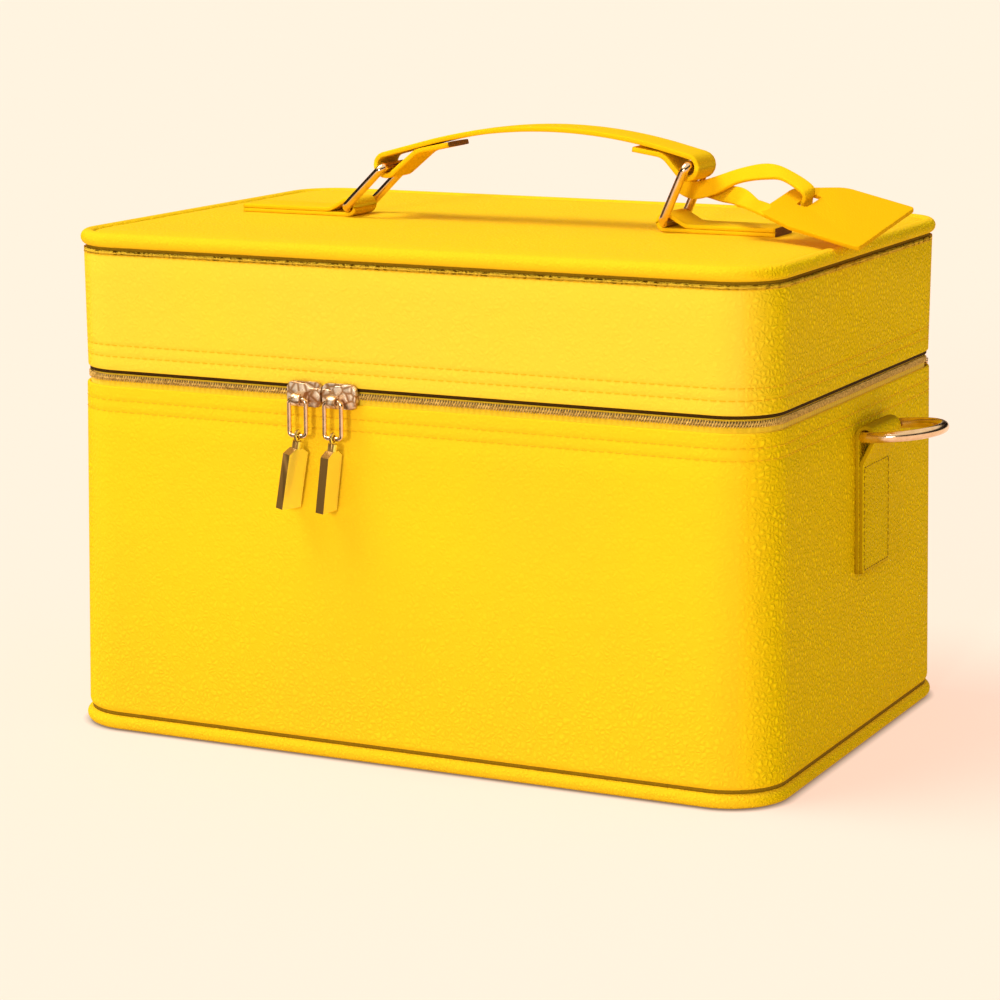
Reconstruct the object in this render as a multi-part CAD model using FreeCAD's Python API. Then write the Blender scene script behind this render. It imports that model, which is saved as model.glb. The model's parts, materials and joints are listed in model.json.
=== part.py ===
"""Makeup train case: a stiff leather box with a zipped lid, a strap handle on two wire rings,
a ring on each side and a luggage tag. Millimetres, +Z up, the front towards -Y, the origin on
the floor under the middle of the box."""
import FreeCAD, Part
import math
import os

V = FreeCAD.Vector

# Box outline
case_width = 300.0          # over the body's wall at the base seam
case_depth = 208.0
corner_radius = 24.0        # upright corners, outside
body_rim_height = 138.8     # floor to the body's upper edge
wall_lean = 2.45            # each wall leans in by this from base seam to rim
zip_gap = 6.2               # open height between the body's and the lid's edges
lid_wall_height = 48.0
lid_set_in = 2.95           # lid's lower edge inside the base outline
lid_flare = 0.5             # lid's wall leans out by this towards its top
base_piping_diameter = 5.8
lid_piping_diameter = 6.0
piping_proud = 1.2          # how far the piping stands past the wall

# Wall layers, from the outside in
leather = 1.4
padding = 0.9
board = 2.4
lining = 0.8
glue_line = 0.05            # left open between two layers

# Zip
zip_turn_in = 10.0          # tape hidden behind each leather edge
zip_end = 84.0              # how far the zip runs back along the sides
tooth_height = 1.5          # one row of teeth
tooth_row_gap = 1.2         # open line between the two rows
tooth_front = 0.7           # depth of the teeth's front behind the wall's face
tooth_thickness = 2.2
stop_length = 5.0
hinge_strip_gap = 0.6       # open line on the fold of the back hinge

# Zip sliders and pulls
slider_spacing = 15.2
slider_middle = -31.5       # midpoint of the two sliders, left of the front's middle
slider_length = 14.4
slider_height = 9.6
slider_plate = 1.4
slider_web = 0.6
slider_back = 1.0
slide_clearance = 0.4
ear_width = 3.6
ear_round = 2.4             # radius of the ear's end
pull_reach = 7.0            # pivot of the pull in front of the wall
pull_pivot_drop = 1.3       # and below the zip's middle
pull_wire = 1.8
link_length = 14.0
link_width = 7.2
link_bend = 1.6
tag_bar_hole = 2.6          # hole in a pull tag's eye and in the slider's ear
tag_eye_wire = 1.2
tag_cap_radius = 1.8
tag_cap_length = 3.4
pull_tag_length = 28.4      # pivot to lower end
pull_tag_width = 10.2
pull_tag_thickness = 3.4
pull_tag_shoulder = 2.0
left_tag_twist = 14.0       # degrees about the upright, front edge to the left
right_tag_twist = 2.0
left_tag_tilt = 9.5         # degrees, lower end to the left
right_tag_tilt = 6.8

# Handle
handle_middle = -0.75       # handle's middle, right of the box's middle
handle_pivot_spacing = 139.5
handle_ring_length = 24.2   # between the middles of a ring's two bars
handle_ring_width = 23.0    # between the middles of a ring's legs
ring_wire = 3.6
ring_bend = 2.2
left_ring_lean = 45.5       # degrees from upright, towards +X
right_ring_lean = 23.6
strap_leather = 1.6
handle_leather = 2.0
handle_width = 18.4
handle_tab_width = 18.4
left_tab_length = 49.0
right_tab_length = 45.8
wire_clearance = 0.35       # between a ring's bar and the leather round it
handle_slack = 1.2          # room in the handle's loops
left_loop_lift = 0.8        # handle's left loop above the bar it hangs on
right_loop_drop = 0.7       # and its right loop below
right_loop_shift = 0.9      # and to the left of it
arch_share = 0.84           # part of the handle's half that the arch's curve takes
handle_rise = 15.1          # degrees, slope of the handle's left end
handle_fall = 14.0          # degrees, slope of the handle's right end
left_return_slope = 40.0    # degrees, underside of the left loop
right_return_slope = 48.0
left_return_end = 15.0      # sewn end of the turned strap, past where it meets the handle
right_return_end = 13.0
left_return_dip = 3.0       # degrees, sewn end under the handle's arch
right_return_dip = 5.5
left_seam_touch = 0.15      # between the handle strap and its turned end
right_seam_touch = 0.5

# Side rings
side_tab_low = 70.5
side_tab_width = 31.0
side_ring_height = 124.3
side_ring_span = 37.0       # between the middles of the ring's legs
side_ring_reach = 25.5
side_ring_wire = 4.2
side_ring_bend = 2.4        # between the ring's bar and its legs
side_ring_tilt = 6.0        # degrees, nose raised
side_ring_offset = 8.0      # behind the middle of the side
side_tab_open = 11.0        # below the ring's bar, where the tab's two layers part

# Luggage tag and its strap
tag_length = 47.5
tag_width = 38.4
tag_thickness = 1.8
tag_point = 16.5            # length of the narrowing end
tag_tip_rear = 8.0           # tip's rear corner from the tag's middle line
tag_corner = 1.6
tag_shoulder_round = 12.0
tag_tip_round = 5.0
slot_from_tip = 11.0
slot_offset = 2.4           # slot behind the tag's middle line
slot_length = 10.4
slot_width = 4.6
tag_reach = 59.0            # tag's middle at the slot from the right ring's pivot, to the right
tag_forward = 12.2          # towards the front
tag_rise = 13.4             # above the lid
tag_yaw = -12.2
tag_drop = 11.0             # degrees, free end lower than the slot end
tag_roll = 18.4             # degrees, rear edge raised
tag_strap_width = 6.8
neck_offset = 11.8          # strap's lower arm in front of the tag's middle line
tag_strap_wrap_place = 12.2 # along the ring's leg, from its lower bar
wrap_clearance = 0.3
slot_clearance = 0.4        # strap to the tip side of the tag's slot
neck_gap = 0.4              # strap's lower arm to the tag's tip
strap_lift = 10.0           # crown of the upper arm above the straight way to the slot
neck_lift = 1.8             # lower arm above the straight way to the tag

# Inside
divider_thickness = 6.0
divider_height = 84.0
divider_clearance = 0.3
long_divider_place = 30.0   # behind the middle
front_divider_spacing = 92.0
rear_divider_place = -28.0

# Levels that follow
zip_middle = body_rim_height + zip_gap / 2
lid_edge_height = body_rim_height + zip_gap
lid_wall_top = lid_edge_height + lid_wall_height
lid_top = lid_wall_top + lid_piping_diameter
lower_teeth_top = zip_middle - tooth_row_gap / 2
upper_teeth_low = zip_middle + tooth_row_gap / 2
lower_teeth_low = lower_teeth_top - tooth_height
upper_teeth_top = upper_teeth_low + tooth_height

# Depths of the layers behind the wall's face
padding_depth = leather + glue_line
board_depth = padding_depth + padding + glue_line
lining_depth = board_depth + board + glue_line
wall_depth = lining_depth + lining
floor_height = base_piping_diameter + lining


def body_inset(height):
    """Distance of the body's face inside the base outline at a height."""
    share = (height - base_piping_diameter) / (body_rim_height - base_piping_diameter)
    return wall_lean * share


def lid_inset(height):
    """Distance of the lid's face inside the base outline at a height."""
    share = (height - lid_edge_height) / lid_wall_height
    return lid_set_in - lid_flare * share


def front_face(height):
    """Y of the body's front at a height."""
    return body_inset(height) - case_depth / 2


def side_face(height):
    """X of the body's right side at a height."""
    return case_width / 2 - body_inset(height)


def outline(inset, height):
    """Rounded rectangle, inset from the base outline, at a height."""
    half_x = case_width / 2 - inset
    half_y = case_depth / 2 - inset
    radius = corner_radius - inset
    corners = [(1, -1, -90), (1, 1, 0), (-1, 1, 90), (-1, -1, 180)]
    edges = []
    last = None
    first = None
    for sign_x, sign_y, turn in corners:
        middle = V(sign_x * (half_x - radius), sign_y * (half_y - radius), height)
        points = []
        for angle in (turn, turn + 45, turn + 90):
            bend = math.radians(angle)
            points.append(middle + V(radius * math.cos(bend), radius * math.sin(bend), 0))
        if last is not None:
            edges.append(Part.makeLine(last, points[0]))
        else:
            first = points[0]
        edges.append(Part.Arc(*points).toShape())
        last = points[2]
    edges.append(Part.makeLine(last, first))
    return Part.Wire(edges)


def block(inset_at, depth, low, high):
    """Solid inside the wall's face, at a depth behind it, between two heights."""
    lower = outline(inset_at(low) + depth, low)
    upper = outline(inset_at(high) + depth, high)
    return Part.makeLoft([lower, upper], True, True)


def wall(inset_at, outer, inner, low, high):
    """One upright layer of the wall, all the way round."""
    overrun = 1.0
    solid = block(inset_at, outer, low, high)
    return solid.cut(block(inset_at, inner, low - overrun, high + overrun))


def tub(inset_at, outer, inner, low, high, floor_low, floor_high):
    """A wall layer with a floor or ceiling joined to it."""
    side = wall(inset_at, outer, inner, low, high)
    return side.fuse(block(inset_at, outer, floor_low, floor_high)).removeSplitter()


def rod(path, diameter):
    """Round bar along a path."""
    start_edge = path.Edges[0]
    start = start_edge.valueAt(start_edge.FirstParameter)
    heading = start_edge.tangentAt(start_edge.FirstParameter)
    section = Part.Wire(Part.makeCircle(diameter / 2, start, heading))
    return path.makePipeShell([section], True, False)


def rounded_loop(corners, radii):
    """Closed path through flat corners, each one rounded to its own radius."""
    edges = []
    ends = []
    count = len(corners)
    for index, corner in enumerate(corners):
        radius = radii[index]
        before = (corner - corners[index - 1]).normalize()
        after = (corners[(index + 1) % count] - corner).normalize()
        reach = radius * math.tan(before.getAngle(after) / 2)
        start = corner - before * reach
        finish = corner + after * reach
        inward = (after - before).normalize()
        to_centre = radius / math.cos(before.getAngle(after) / 2)
        middle = corner + inward * (to_centre - radius)
        ends.append((start, middle, finish))
    for index, (start, middle, finish) in enumerate(ends):
        edges.append(Part.Arc(start, middle, finish).toShape())
        following = ends[(index + 1) % count][0]
        if finish.distanceToPoint(following) > 1e-6:
            edges.append(Part.makeLine(finish, following))
    return Part.Wire(edges)


def flat_normal(heading):
    """Left-hand normal of a heading in the XZ plane."""
    return V(-heading.z, 0, heading.x)


def strap(points, radii, thickness, width, middle_y):
    """Leather strip along points in the XZ plane, with its inner corners rounded."""
    half = thickness / 2
    sides = {half: [], -half: []}
    here = points[0]
    for index in range(1, len(points)):
        heading = (points[index] - points[index - 1]).normalize()
        is_last = index == len(points) - 1
        if is_last:
            stop = points[index]
        else:
            after = (points[index + 1] - points[index]).normalize()
            radius = radii[index - 1]
            turn = heading.getAngle(after)
            left = 1 if flat_normal(heading).dot(after) > 0 else -1
            stop = points[index] - heading * (radius * math.tan(turn / 2))
            resume = points[index] + after * (radius * math.tan(turn / 2))
            centre = stop + flat_normal(heading) * (left * radius)
            outward = (points[index] - centre).normalize()
        for offset, edges in sides.items():
            shift = flat_normal(heading) * offset
            if here.distanceToPoint(stop) > 1e-6:
                edges.append(Part.makeLine(here + shift, stop + shift))
            if not is_last:
                middle = centre + outward * (radius - left * offset)
                finish = resume + flat_normal(after) * offset
                edges.append(Part.Arc(stop + shift, middle, finish).toShape())
        if not is_last:
            here = resume
    caps = []
    for end, first, second in ((points[0], points[0], points[1]), (points[-1], points[-2], points[-1])):
        across = flat_normal((second - first).normalize()) * half
        caps.append(Part.makeLine(end + across, end - across))
    edges = sides[half] + sides[-half] + caps
    face = Part.Face(Part.Wire(Part.__sortEdges__(edges)))
    face.translate(V(0, middle_y - width / 2, 0))
    return face.extrude(V(0, width, 0))


def loop_corner(centre, radius, heading_in, heading_out):
    """Corner of a path that goes clockwise round a bar, tangent to a circle about it."""
    half_turn = math.radians(heading_in - heading_out) / 2
    between = math.radians(heading_in + heading_out) / 2
    reach = radius / math.cos(half_turn)
    return centre + V(-math.sin(between), 0, math.cos(between)) * reach


def meeting(point, way, other_point, other_way):
    """Where two lines in the XZ plane cross."""
    share = (other_point - point).cross(other_way).y / way.cross(other_way).y
    return point + way * share


def along(angle):
    """Unit vector in the XZ plane at an angle above +X."""
    return V(math.cos(math.radians(angle)), 0, math.sin(math.radians(angle)))


def front_strip(shape):
    """What a ring-shaped strip keeps along the front and the sides, as far as the zip runs."""
    reach = 2 * case_width
    behind = Part.makeBox(reach, reach, reach, V(-reach / 2, zip_end, -reach / 2))
    return shape.cut(behind)


def back_strip(shape):
    """What a ring-shaped strip keeps behind the ends of the zip."""
    reach = 2 * case_width
    start = zip_end + stop_length + 2 * glue_line
    ahead = Part.makeBox(reach, reach, reach, V(-reach / 2, start - reach, -reach / 2))
    return shape.cut(ahead)


def make_body(parts):
    """Body of the box: base, wall layers and lining."""
    wall_low = base_piping_diameter
    rim = body_rim_height
    padding_top = rim - zip_turn_in - glue_line
    padding_back = padding_depth + padding
    parts["lower_cover"] = wall(body_inset, 0, leather, wall_low, rim)
    parts["lower_padding"] = wall(body_inset, padding_depth, padding_back, wall_low, padding_top)
    parts["lower_board"] = wall(body_inset, board_depth, board_depth + board, wall_low, rim)
    parts["lower_lining"] = tub(body_inset, lining_depth, wall_depth, wall_low, rim, wall_low, floor_height)
    piping_inset = base_piping_diameter / 2 - piping_proud
    path = outline(piping_inset, base_piping_diameter / 2)
    parts["base_piping"] = rod(path, base_piping_diameter)
    inside = piping_inset + base_piping_diameter / 2 + glue_line
    parts["base_cover"] = base_panel(inside, 0, leather)
    parts["base_board"] = base_panel(inside, leather + glue_line, base_piping_diameter - glue_line)


def base_panel(inset, low, high):
    """Flat panel inside the base piping."""
    face = Part.Face(outline(inset, low))
    return face.extrude(V(0, 0, high - low))


def make_lid(parts):
    """Lid: wall layers, top panel, piping and lining."""
    low = lid_edge_height
    top = lid_wall_top
    padding_low = low + zip_turn_in + glue_line
    padding_back = padding_depth + padding
    parts["lid_cover"] = wall(lid_inset, 0, leather, low, top)
    parts["lid_padding"] = wall(lid_inset, padding_depth, padding_back, padding_low, top)
    parts["lid_board"] = wall(lid_inset, board_depth, board_depth + board, low, top)
    parts["lid_lining"] = tub(lid_inset, lining_depth, wall_depth, low, top, top - lining, top)
    piping_inset = lid_inset(top) + lid_piping_diameter / 2 - piping_proud
    path = outline(piping_inset, top + lid_piping_diameter / 2)
    parts["lid_piping"] = rod(path, lid_piping_diameter)
    inside = piping_inset + lid_piping_diameter / 2 + glue_line
    cover_low = lid_top - leather
    parts["lid_top_cover"] = base_panel(inside, cover_low, lid_top)
    parts["lid_top_board"] = base_panel(inside, top + glue_line, cover_low - glue_line)


def make_zip(parts):
    """Tapes, rows of teeth, end stops and the leather fold at the back."""
    tape_low = body_rim_height - zip_turn_in
    tape_top = lid_edge_height + zip_turn_in
    back = padding_depth + padding
    tooth_back = tooth_front + tooth_thickness
    lower_tape = wall(body_inset, padding_depth, back, tape_low, lower_teeth_low - glue_line)
    upper_tape = wall(lid_inset, padding_depth, back, upper_teeth_top + glue_line, tape_top)
    parts["zip_tape_lower"] = front_strip(lower_tape)
    parts["zip_tape_upper"] = front_strip(upper_tape)
    lower_teeth = wall(body_inset, tooth_front, tooth_back, lower_teeth_low, lower_teeth_top)
    upper_teeth = wall(body_inset, tooth_front, tooth_back, upper_teeth_low, upper_teeth_top)
    parts["zip_teeth_lower"] = front_strip(lower_teeth)
    parts["zip_teeth_upper"] = front_strip(upper_teeth)
    stops = []
    for side in (1, -1):
        outer = side_face(zip_middle) - tooth_front
        low_x = outer - tooth_thickness if side > 0 else -outer
        corner = V(low_x, zip_end + glue_line, lower_teeth_low)
        stops.append(Part.makeBox(tooth_thickness, stop_length, tooth_height, corner))
    parts["zip_end_stops"] = Part.makeCompound(stops)
    fold = zip_middle - hinge_strip_gap / 2
    lower_leaf = wall(body_inset, padding_depth, back, tape_low, fold)
    upper_leaf = wall(lid_inset, padding_depth, back, fold + hinge_strip_gap, tape_top)
    parts["hinge_strip_lower"] = back_strip(lower_leaf)
    parts["hinge_strip_upper"] = back_strip(upper_leaf)


def slider_place(side):
    """X of a slider's middle; side is -1 for the left one and 1 for the right one."""
    return slider_middle + side * slider_spacing / 2


def make_slider(middle):
    """Zip slider: face plate with an ear for the pull, and a channel round the lower teeth."""
    face = front_face(zip_middle)
    plate_back = face - slide_clearance
    plate_front = plate_back - slider_plate
    low_x = middle - slider_length / 2
    plate = Part.makeBox(slider_length, slider_plate, slider_height,
                         V(low_x, plate_front, zip_middle - slider_height / 2))
    upright = [edge for edge in plate.Edges if abs(edge.tangentAt(edge.FirstParameter).y) > 0.5]
    plate = plate.makeFillet(slider_height / 4, upright)
    web_low = zip_middle - slider_web / 2
    web_top = web_low + slider_web
    channel_back = face + tooth_front + tooth_thickness + slide_clearance
    neck_depth = face + tooth_front - slide_clearance - plate_back
    neck = Part.makeBox(slider_length, neck_depth, web_top - lower_teeth_low,
                        V(low_x, plate_back, lower_teeth_low))
    web = Part.makeBox(slider_length, channel_back + slider_back - plate_back, slider_web,
                       V(low_x, plate_back, web_low))
    back = Part.makeBox(slider_length, slider_back, web_top - lower_teeth_low,
                        V(low_x, channel_back, lower_teeth_low))
    pivot = V(middle, face - pull_reach, zip_middle - pull_pivot_drop)
    ear_low = middle - ear_width / 2
    ear_end = Part.makeCylinder(ear_round, ear_width, V(ear_low, pivot.y, pivot.z), V(1, 0, 0))
    ear_root = Part.makeBox(ear_width, plate_front - pivot.y + slider_plate / 2, 2 * ear_round,
                            V(ear_low, pivot.y, pivot.z - ear_round))
    hole = Part.makeCylinder(tag_bar_hole / 2, slider_length, V(low_x, pivot.y, pivot.z), V(1, 0, 0))
    body = plate.multiFuse([neck, web, back, ear_end, ear_root]).cut(hole)
    return body.removeSplitter(), pivot


def make_pull_link(pivot):
    """Narrow wire loop hanging from a slider's ear."""
    half = link_width / 2
    low = pivot - V(0, 0, link_length)
    corners = [pivot + V(-half, 0, 0), pivot + V(half, 0, 0), low + V(half, 0, 0), low + V(-half, 0, 0)]
    return rod(rounded_loop(corners, [link_bend] * 4), pull_wire)


def make_pull_tag(pivot, twist, tilt):
    """Flat metal tag under a cap and an eye round a link's lower bar, turned as it hangs."""
    eye_radius = (tag_bar_hole + tag_eye_wire) / 2
    eye = Part.makeTorus(eye_radius, tag_eye_wire / 2, V(0, 0, 0), V(1, 0, 0))
    cap_top = -eye_radius
    plate_top = cap_top - tag_cap_length + tag_eye_wire / 2
    cap = Part.makeCylinder(tag_cap_radius, tag_cap_length, V(0, 0, cap_top - tag_cap_length))
    half = pull_tag_width / 2
    low = -pull_tag_length
    shoulder = plate_top - pull_tag_shoulder
    corners = [(-half, low), (half, low), (half, shoulder), (tag_cap_radius, plate_top),
               (-tag_cap_radius, plate_top), (-half, shoulder)]
    flat = [V(-pull_tag_thickness / 2, y, z) for y, z in corners]
    plate = Part.Face(Part.makePolygon(flat + flat[:1])).extrude(V(pull_tag_thickness, 0, 0))
    hanging = cap.fuse(plate)
    hanging.rotate(V(0, 0, 0), V(0, 0, 1), -twist)
    hanging.rotate(V(0, 0, 0), V(0, 1, 0), tilt)
    tag = eye.fuse(hanging).removeSplitter()
    tag.translate(pivot)
    return tag


def make_pulls(parts):
    """Both sliders with their links and tags."""
    hung = (("left", -1, left_tag_twist, left_tag_tilt), ("right", 1, right_tag_twist, right_tag_tilt))
    for name, side, twist, tilt in hung:
        slider, pivot = make_slider(slider_place(side))
        parts["slider_" + name] = slider
        parts["pull_link_" + name] = make_pull_link(pivot)
        parts["pull_tag_" + name] = make_pull_tag(pivot - V(0, 0, link_length), twist, tilt)


# Handle pivots that follow from the sizes above
tab_loop_radius = ring_wire / 2 + wire_clearance + strap_leather / 2
handle_pivot_height = lid_top + glue_line + strap_leather / 2 + tab_loop_radius
left_pivot = V(handle_middle - handle_pivot_spacing / 2, 0, handle_pivot_height)
right_pivot = V(handle_middle + handle_pivot_spacing / 2, 0, handle_pivot_height)
left_bar = left_pivot + along(90 - left_ring_lean) * handle_ring_length
right_bar = right_pivot + along(90 - right_ring_lean) * handle_ring_length


def make_handle_ring(pivot, lean):
    """Rectangular wire ring on a lid tab, leaning towards +X."""
    half = handle_ring_width / 2
    top = handle_ring_length
    corners = [V(0, -half, 0), V(0, half, 0), V(0, half, top), V(0, -half, top)]
    ring = rod(rounded_loop(corners, [ring_bend] * 4), ring_wire)
    ring.rotate(V(0, 0, 0), V(0, 1, 0), lean)
    ring.translate(pivot)
    return ring


def make_handle_tab(pivot, outward, length):
    """Leather strip sewn to the lid and folded round a ring's lower bar, running outwards."""
    low = lid_top + glue_line + strap_leather / 2
    upper = low + strap_leather + glue_line
    crown = pivot.z + tab_loop_radius
    end = -length
    fold = tab_loop_radius
    slope_run = 3 * tab_loop_radius
    points = [V(end, 0, low), V(fold, 0, low), V(fold, 0, crown), V(-fold / 2, 0, crown),
              V(-slope_run, 0, upper), V(end, 0, upper)]
    radii = [tab_loop_radius, tab_loop_radius, 2 * strap_leather, 4 * strap_leather]
    tab = strap(points, radii, strap_leather, handle_tab_width, 0)
    if outward > 0:
        tab = tab.mirror(V(0, 0, 0), V(1, 0, 0))
    tab.translate(V(pivot.x, 0, 0))
    return tab


def make_handle():
    """Strap handle: one strip over both rings, its ends turned under and sewn back."""
    loop_radius = ring_wire / 2 + wire_clearance + handle_slack + handle_leather / 2
    left_centre = left_bar + V(0, 0, left_loop_lift)
    right_centre = right_bar - V(right_loop_shift, 0, right_loop_drop)
    rise = along(handle_rise)
    fall = along(-handle_fall)
    left_heading = 180 + left_return_slope
    right_heading = -180 - right_return_slope
    left_back = along(left_heading)
    right_back = along(right_heading)
    left_top = left_centre + flat_normal(rise) * loop_radius
    right_top = right_centre + flat_normal(fall) * loop_radius
    peak = meeting(left_top, rise, right_top, fall)
    left_under = left_top - flat_normal(rise) * (handle_leather + left_seam_touch)
    right_under = right_top - flat_normal(fall) * (handle_leather + right_seam_touch)
    left_join = meeting(left_under, rise, left_centre + flat_normal(left_back) * loop_radius, left_back)
    right_low = right_centre + flat_normal(right_back) * loop_radius
    right_join = meeting(right_under, fall, right_low, right_back)
    left_cut = left_join + along(handle_rise - left_return_dip) * left_return_end
    right_cut = right_join + along(180 - handle_fall + right_return_dip) * right_return_end
    points = [
        left_cut,
        left_join,
        loop_corner(left_centre, loop_radius, left_heading, 90),
        loop_corner(left_centre, loop_radius, 90, handle_rise),
        peak,
        loop_corner(right_centre, loop_radius, -handle_fall, -90),
        loop_corner(right_centre, loop_radius, -90, right_heading),
        right_join,
        right_cut,
    ]
    bend = 4 * handle_leather
    arch_reach = min(peak.distanceToPoint(left_top), peak.distanceToPoint(right_top)) * arch_share
    arch_radius = arch_reach / math.tan(math.radians(handle_rise + handle_fall) / 2)
    radii = [bend, loop_radius, loop_radius, arch_radius, loop_radius, loop_radius, bend]
    return strap(points, radii, handle_leather, handle_width, 0)


def make_carrying_handle(parts):
    """Handle, its rings and the tabs that hold them."""
    parts["handle_tab_left"] = make_handle_tab(left_pivot, -1, left_tab_length)
    parts["handle_tab_right"] = make_handle_tab(right_pivot, 1, right_tab_length)
    parts["handle_ring_left"] = make_handle_ring(left_pivot, left_ring_lean)
    parts["handle_ring_right"] = make_handle_ring(right_pivot, right_ring_lean)
    parts["handle_strap"] = make_handle()


# Side ring pivot on the right
side_loop_radius = side_ring_wire / 2 + wire_clearance + strap_leather / 2
side_pivot = V(side_face(side_ring_height) + glue_line + strap_leather / 2 + side_loop_radius,
               side_ring_offset, side_ring_height)


def make_side_tab():
    """Leather strip on the right side, folded over the bar of its ring."""
    inner = glue_line + strap_leather / 2
    outer = inner + strap_leather + glue_line
    low = side_tab_low
    meet = side_ring_height - side_tab_open
    crown = side_ring_height + side_loop_radius
    nose = side_pivot.x + side_loop_radius
    wall_top = side_face(crown) + inner
    points = [V(side_face(low) + inner, 0, low), V(wall_top, 0, crown), V(nose, 0, crown),
              V(nose, 0, side_ring_height - side_loop_radius / 2),
              V(side_face(meet) + outer, 0, meet), V(side_face(low) + outer, 0, low)]
    fold = side_loop_radius - glue_line
    radii = [fold, fold, 2 * strap_leather, 4 * strap_leather]
    return strap(points, radii, strap_leather, side_tab_width, side_ring_offset)


def make_side_ring():
    """D-shaped wire ring standing out from the right side."""
    half = side_ring_span / 2
    straight = side_ring_reach - half
    low = V(0, -half, 0)
    high = V(0, half, 0)
    out = V(straight, 0, 0)
    bend = side_ring_bend
    legs = [
        Part.makeLine(low + V(0, bend, 0), high - V(0, bend, 0)),
        Part.Arc(high - V(0, bend, 0), corner_point(high, bend, -1), high + V(bend, 0, 0)).toShape(),
        Part.makeLine(high + V(bend, 0, 0), high + out),
        Part.Arc(high + out, V(side_ring_reach, 0, 0), low + out).toShape(),
        Part.makeLine(low + out, low + V(bend, 0, 0)),
        Part.Arc(low + V(bend, 0, 0), corner_point(low, bend, 1), low + V(0, bend, 0)).toShape(),
    ]
    ring = rod(Part.Wire(legs), side_ring_wire)
    ring.rotate(V(0, 0, 0), V(0, 1, 0), -side_ring_tilt)
    ring.translate(side_pivot)
    return ring


def corner_point(corner, bend, inward):
    """Middle of the rounded corner between the ring's bar and its leg."""
    inside = bend * (1 - math.sqrt(0.5))
    return corner + V(inside, inward * inside, 0)


def make_side_rings(parts):
    """Tab and ring on the right, and their mirror images on the left."""
    tab = make_side_tab()
    ring = make_side_ring()
    parts["side_tab_right"] = tab
    parts["side_ring_right"] = ring
    parts["side_tab_left"] = tab.mirror(V(0, 0, 0), V(1, 0, 0))
    parts["side_ring_left"] = ring.mirror(V(0, 0, 0), V(1, 0, 0))


# Places on the luggage tag and its strap
wrap_middle = (right_pivot + along(90 - right_ring_lean) * tag_strap_wrap_place
               + V(0, handle_ring_width / 2, 0))
tag_middle = V(right_pivot.x + tag_reach, -tag_forward, lid_top + tag_rise)
tag_turn = FreeCAD.Rotation(tag_yaw, tag_drop, tag_roll)


def on_tag(x, y, z):
    """A point of the tag, given along it from the slot, across it from its middle and above it."""
    return tag_middle + tag_turn.multVec(V(x, y, z))


def tag_corners():
    """Corners of the tag, its slotted tip first, on its own flat."""
    tip = -slot_from_tip
    end = tip + tag_length
    shoulder = tip + tag_point
    half = tag_width / 2
    tip_front = neck_offset + tag_strap_width / 2
    return [V(tip, -tip_front, 0), V(shoulder, -half, 0), V(end, -half, 0),
            V(end, half, 0), V(shoulder, half, 0), V(tip, tag_tip_rear, 0)]


def make_tag():
    """Leather luggage tag with a narrowing slotted end."""
    rounding = [tag_corner] * 4 + [tag_shoulder_round, tag_tip_round]
    face = Part.Face(rounded_loop(tag_corners(), rounding))
    plate = face.extrude(V(0, 0, tag_thickness))
    slot = Part.makeBox(slot_width, slot_length, 3 * tag_thickness,
                        V(-slot_width / 2, slot_offset - slot_length / 2, -tag_thickness))
    plate = plate.cut(slot)
    plate.translate(V(0, 0, -tag_thickness / 2))
    plate.Placement = FreeCAD.Placement(tag_middle, tag_turn).multiply(plate.Placement)
    return plate


def make_tag_wrap():
    """Turn of the tag's strap round the rear leg of the right ring."""
    inner = ring_wire / 2 + wire_clearance
    outer = inner + strap_leather
    axis = along(90 - right_ring_lean)
    low = wrap_middle - axis * (tag_strap_width / 2)
    collar = Part.makeCylinder(outer, tag_strap_width, low, axis)
    return collar.cut(Part.makeCylinder(inner, tag_strap_width, low, axis))


# Middle of the strap beside the ring's leg, out from the leg's middle
strap_beside = ring_wire / 2 + wire_clearance + strap_leather + wrap_clearance + strap_leather / 2


def upper_arm_stations():
    """Points of the strap from the ring, over and down through the slot, with its width's direction."""
    upright = V(0, 0, 1)
    across = tag_turn.multVec(V(0, 1, 0))
    lean = (upright + across).normalize()
    near = wrap_middle - V(0, strap_beside, 0)
    span = on_tag(0, slot_offset, 0) - near
    hug = slot_clearance + strap_leather / 2 - slot_width / 2
    return [
        (near, upright),
        (near + span * 0.18 + V(0, 0, strap_lift * 0.24), upright),
        (near + span * 0.41 + V(0, 0, strap_lift * 0.74), lean),
        (near + span * 0.635 + V(0, 0, strap_lift), lean),
        (near + span * 0.815 + V(0, 0, strap_lift * 0.9), across),
        (on_tag(hug + slot_clearance, slot_offset, tag_strap_width * 0.7), across),
        (on_tag(hug, slot_offset, 0), across),
        (on_tag(hug - slot_clearance, slot_offset, -2 * tag_thickness), across),
    ]


def lower_arm_stations():
    """Points of the strap from behind the ring's leg to the tag's tip."""
    upright = V(0, 0, 1)
    across = tag_turn.multVec(V(0, 1, 0))
    lean = (upright + across).normalize()
    far = wrap_middle + V(0, strap_beside, 0)
    end = -slot_from_tip - neck_gap
    touch = on_tag(end, -neck_offset, 0)
    span = touch - far
    return [
        (far, upright),
        (far + V(strap_beside, 0, 0), upright),
        (far + span * 0.34 + V(0, strap_beside, neck_lift * 0.2), lean),
        (far + span * 0.62 + V(0, 0, neck_lift), lean),
        (on_tag(end - tag_strap_width, -neck_offset, strap_leather / 2), across),
        (touch, across),
    ]


def make_ribbon(stations):
    """Flat leather strip through the stations."""
    sections = []
    for index, (point, width_way) in enumerate(stations):
        before = stations[max(index - 1, 0)][0]
        after = stations[min(index + 1, len(stations) - 1)][0]
        heading = (after - before).normalize()
        across = (width_way - heading * width_way.dot(heading)).normalize()
        out = heading.cross(across) * (strap_leather / 2)
        half = across * (tag_strap_width / 2)
        corners = [point + half + out, point - half + out, point - half - out, point + half - out]
        sections.append(Part.makePolygon(corners + corners[:1]))
    return Part.makeLoft(sections, True, True)


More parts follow.
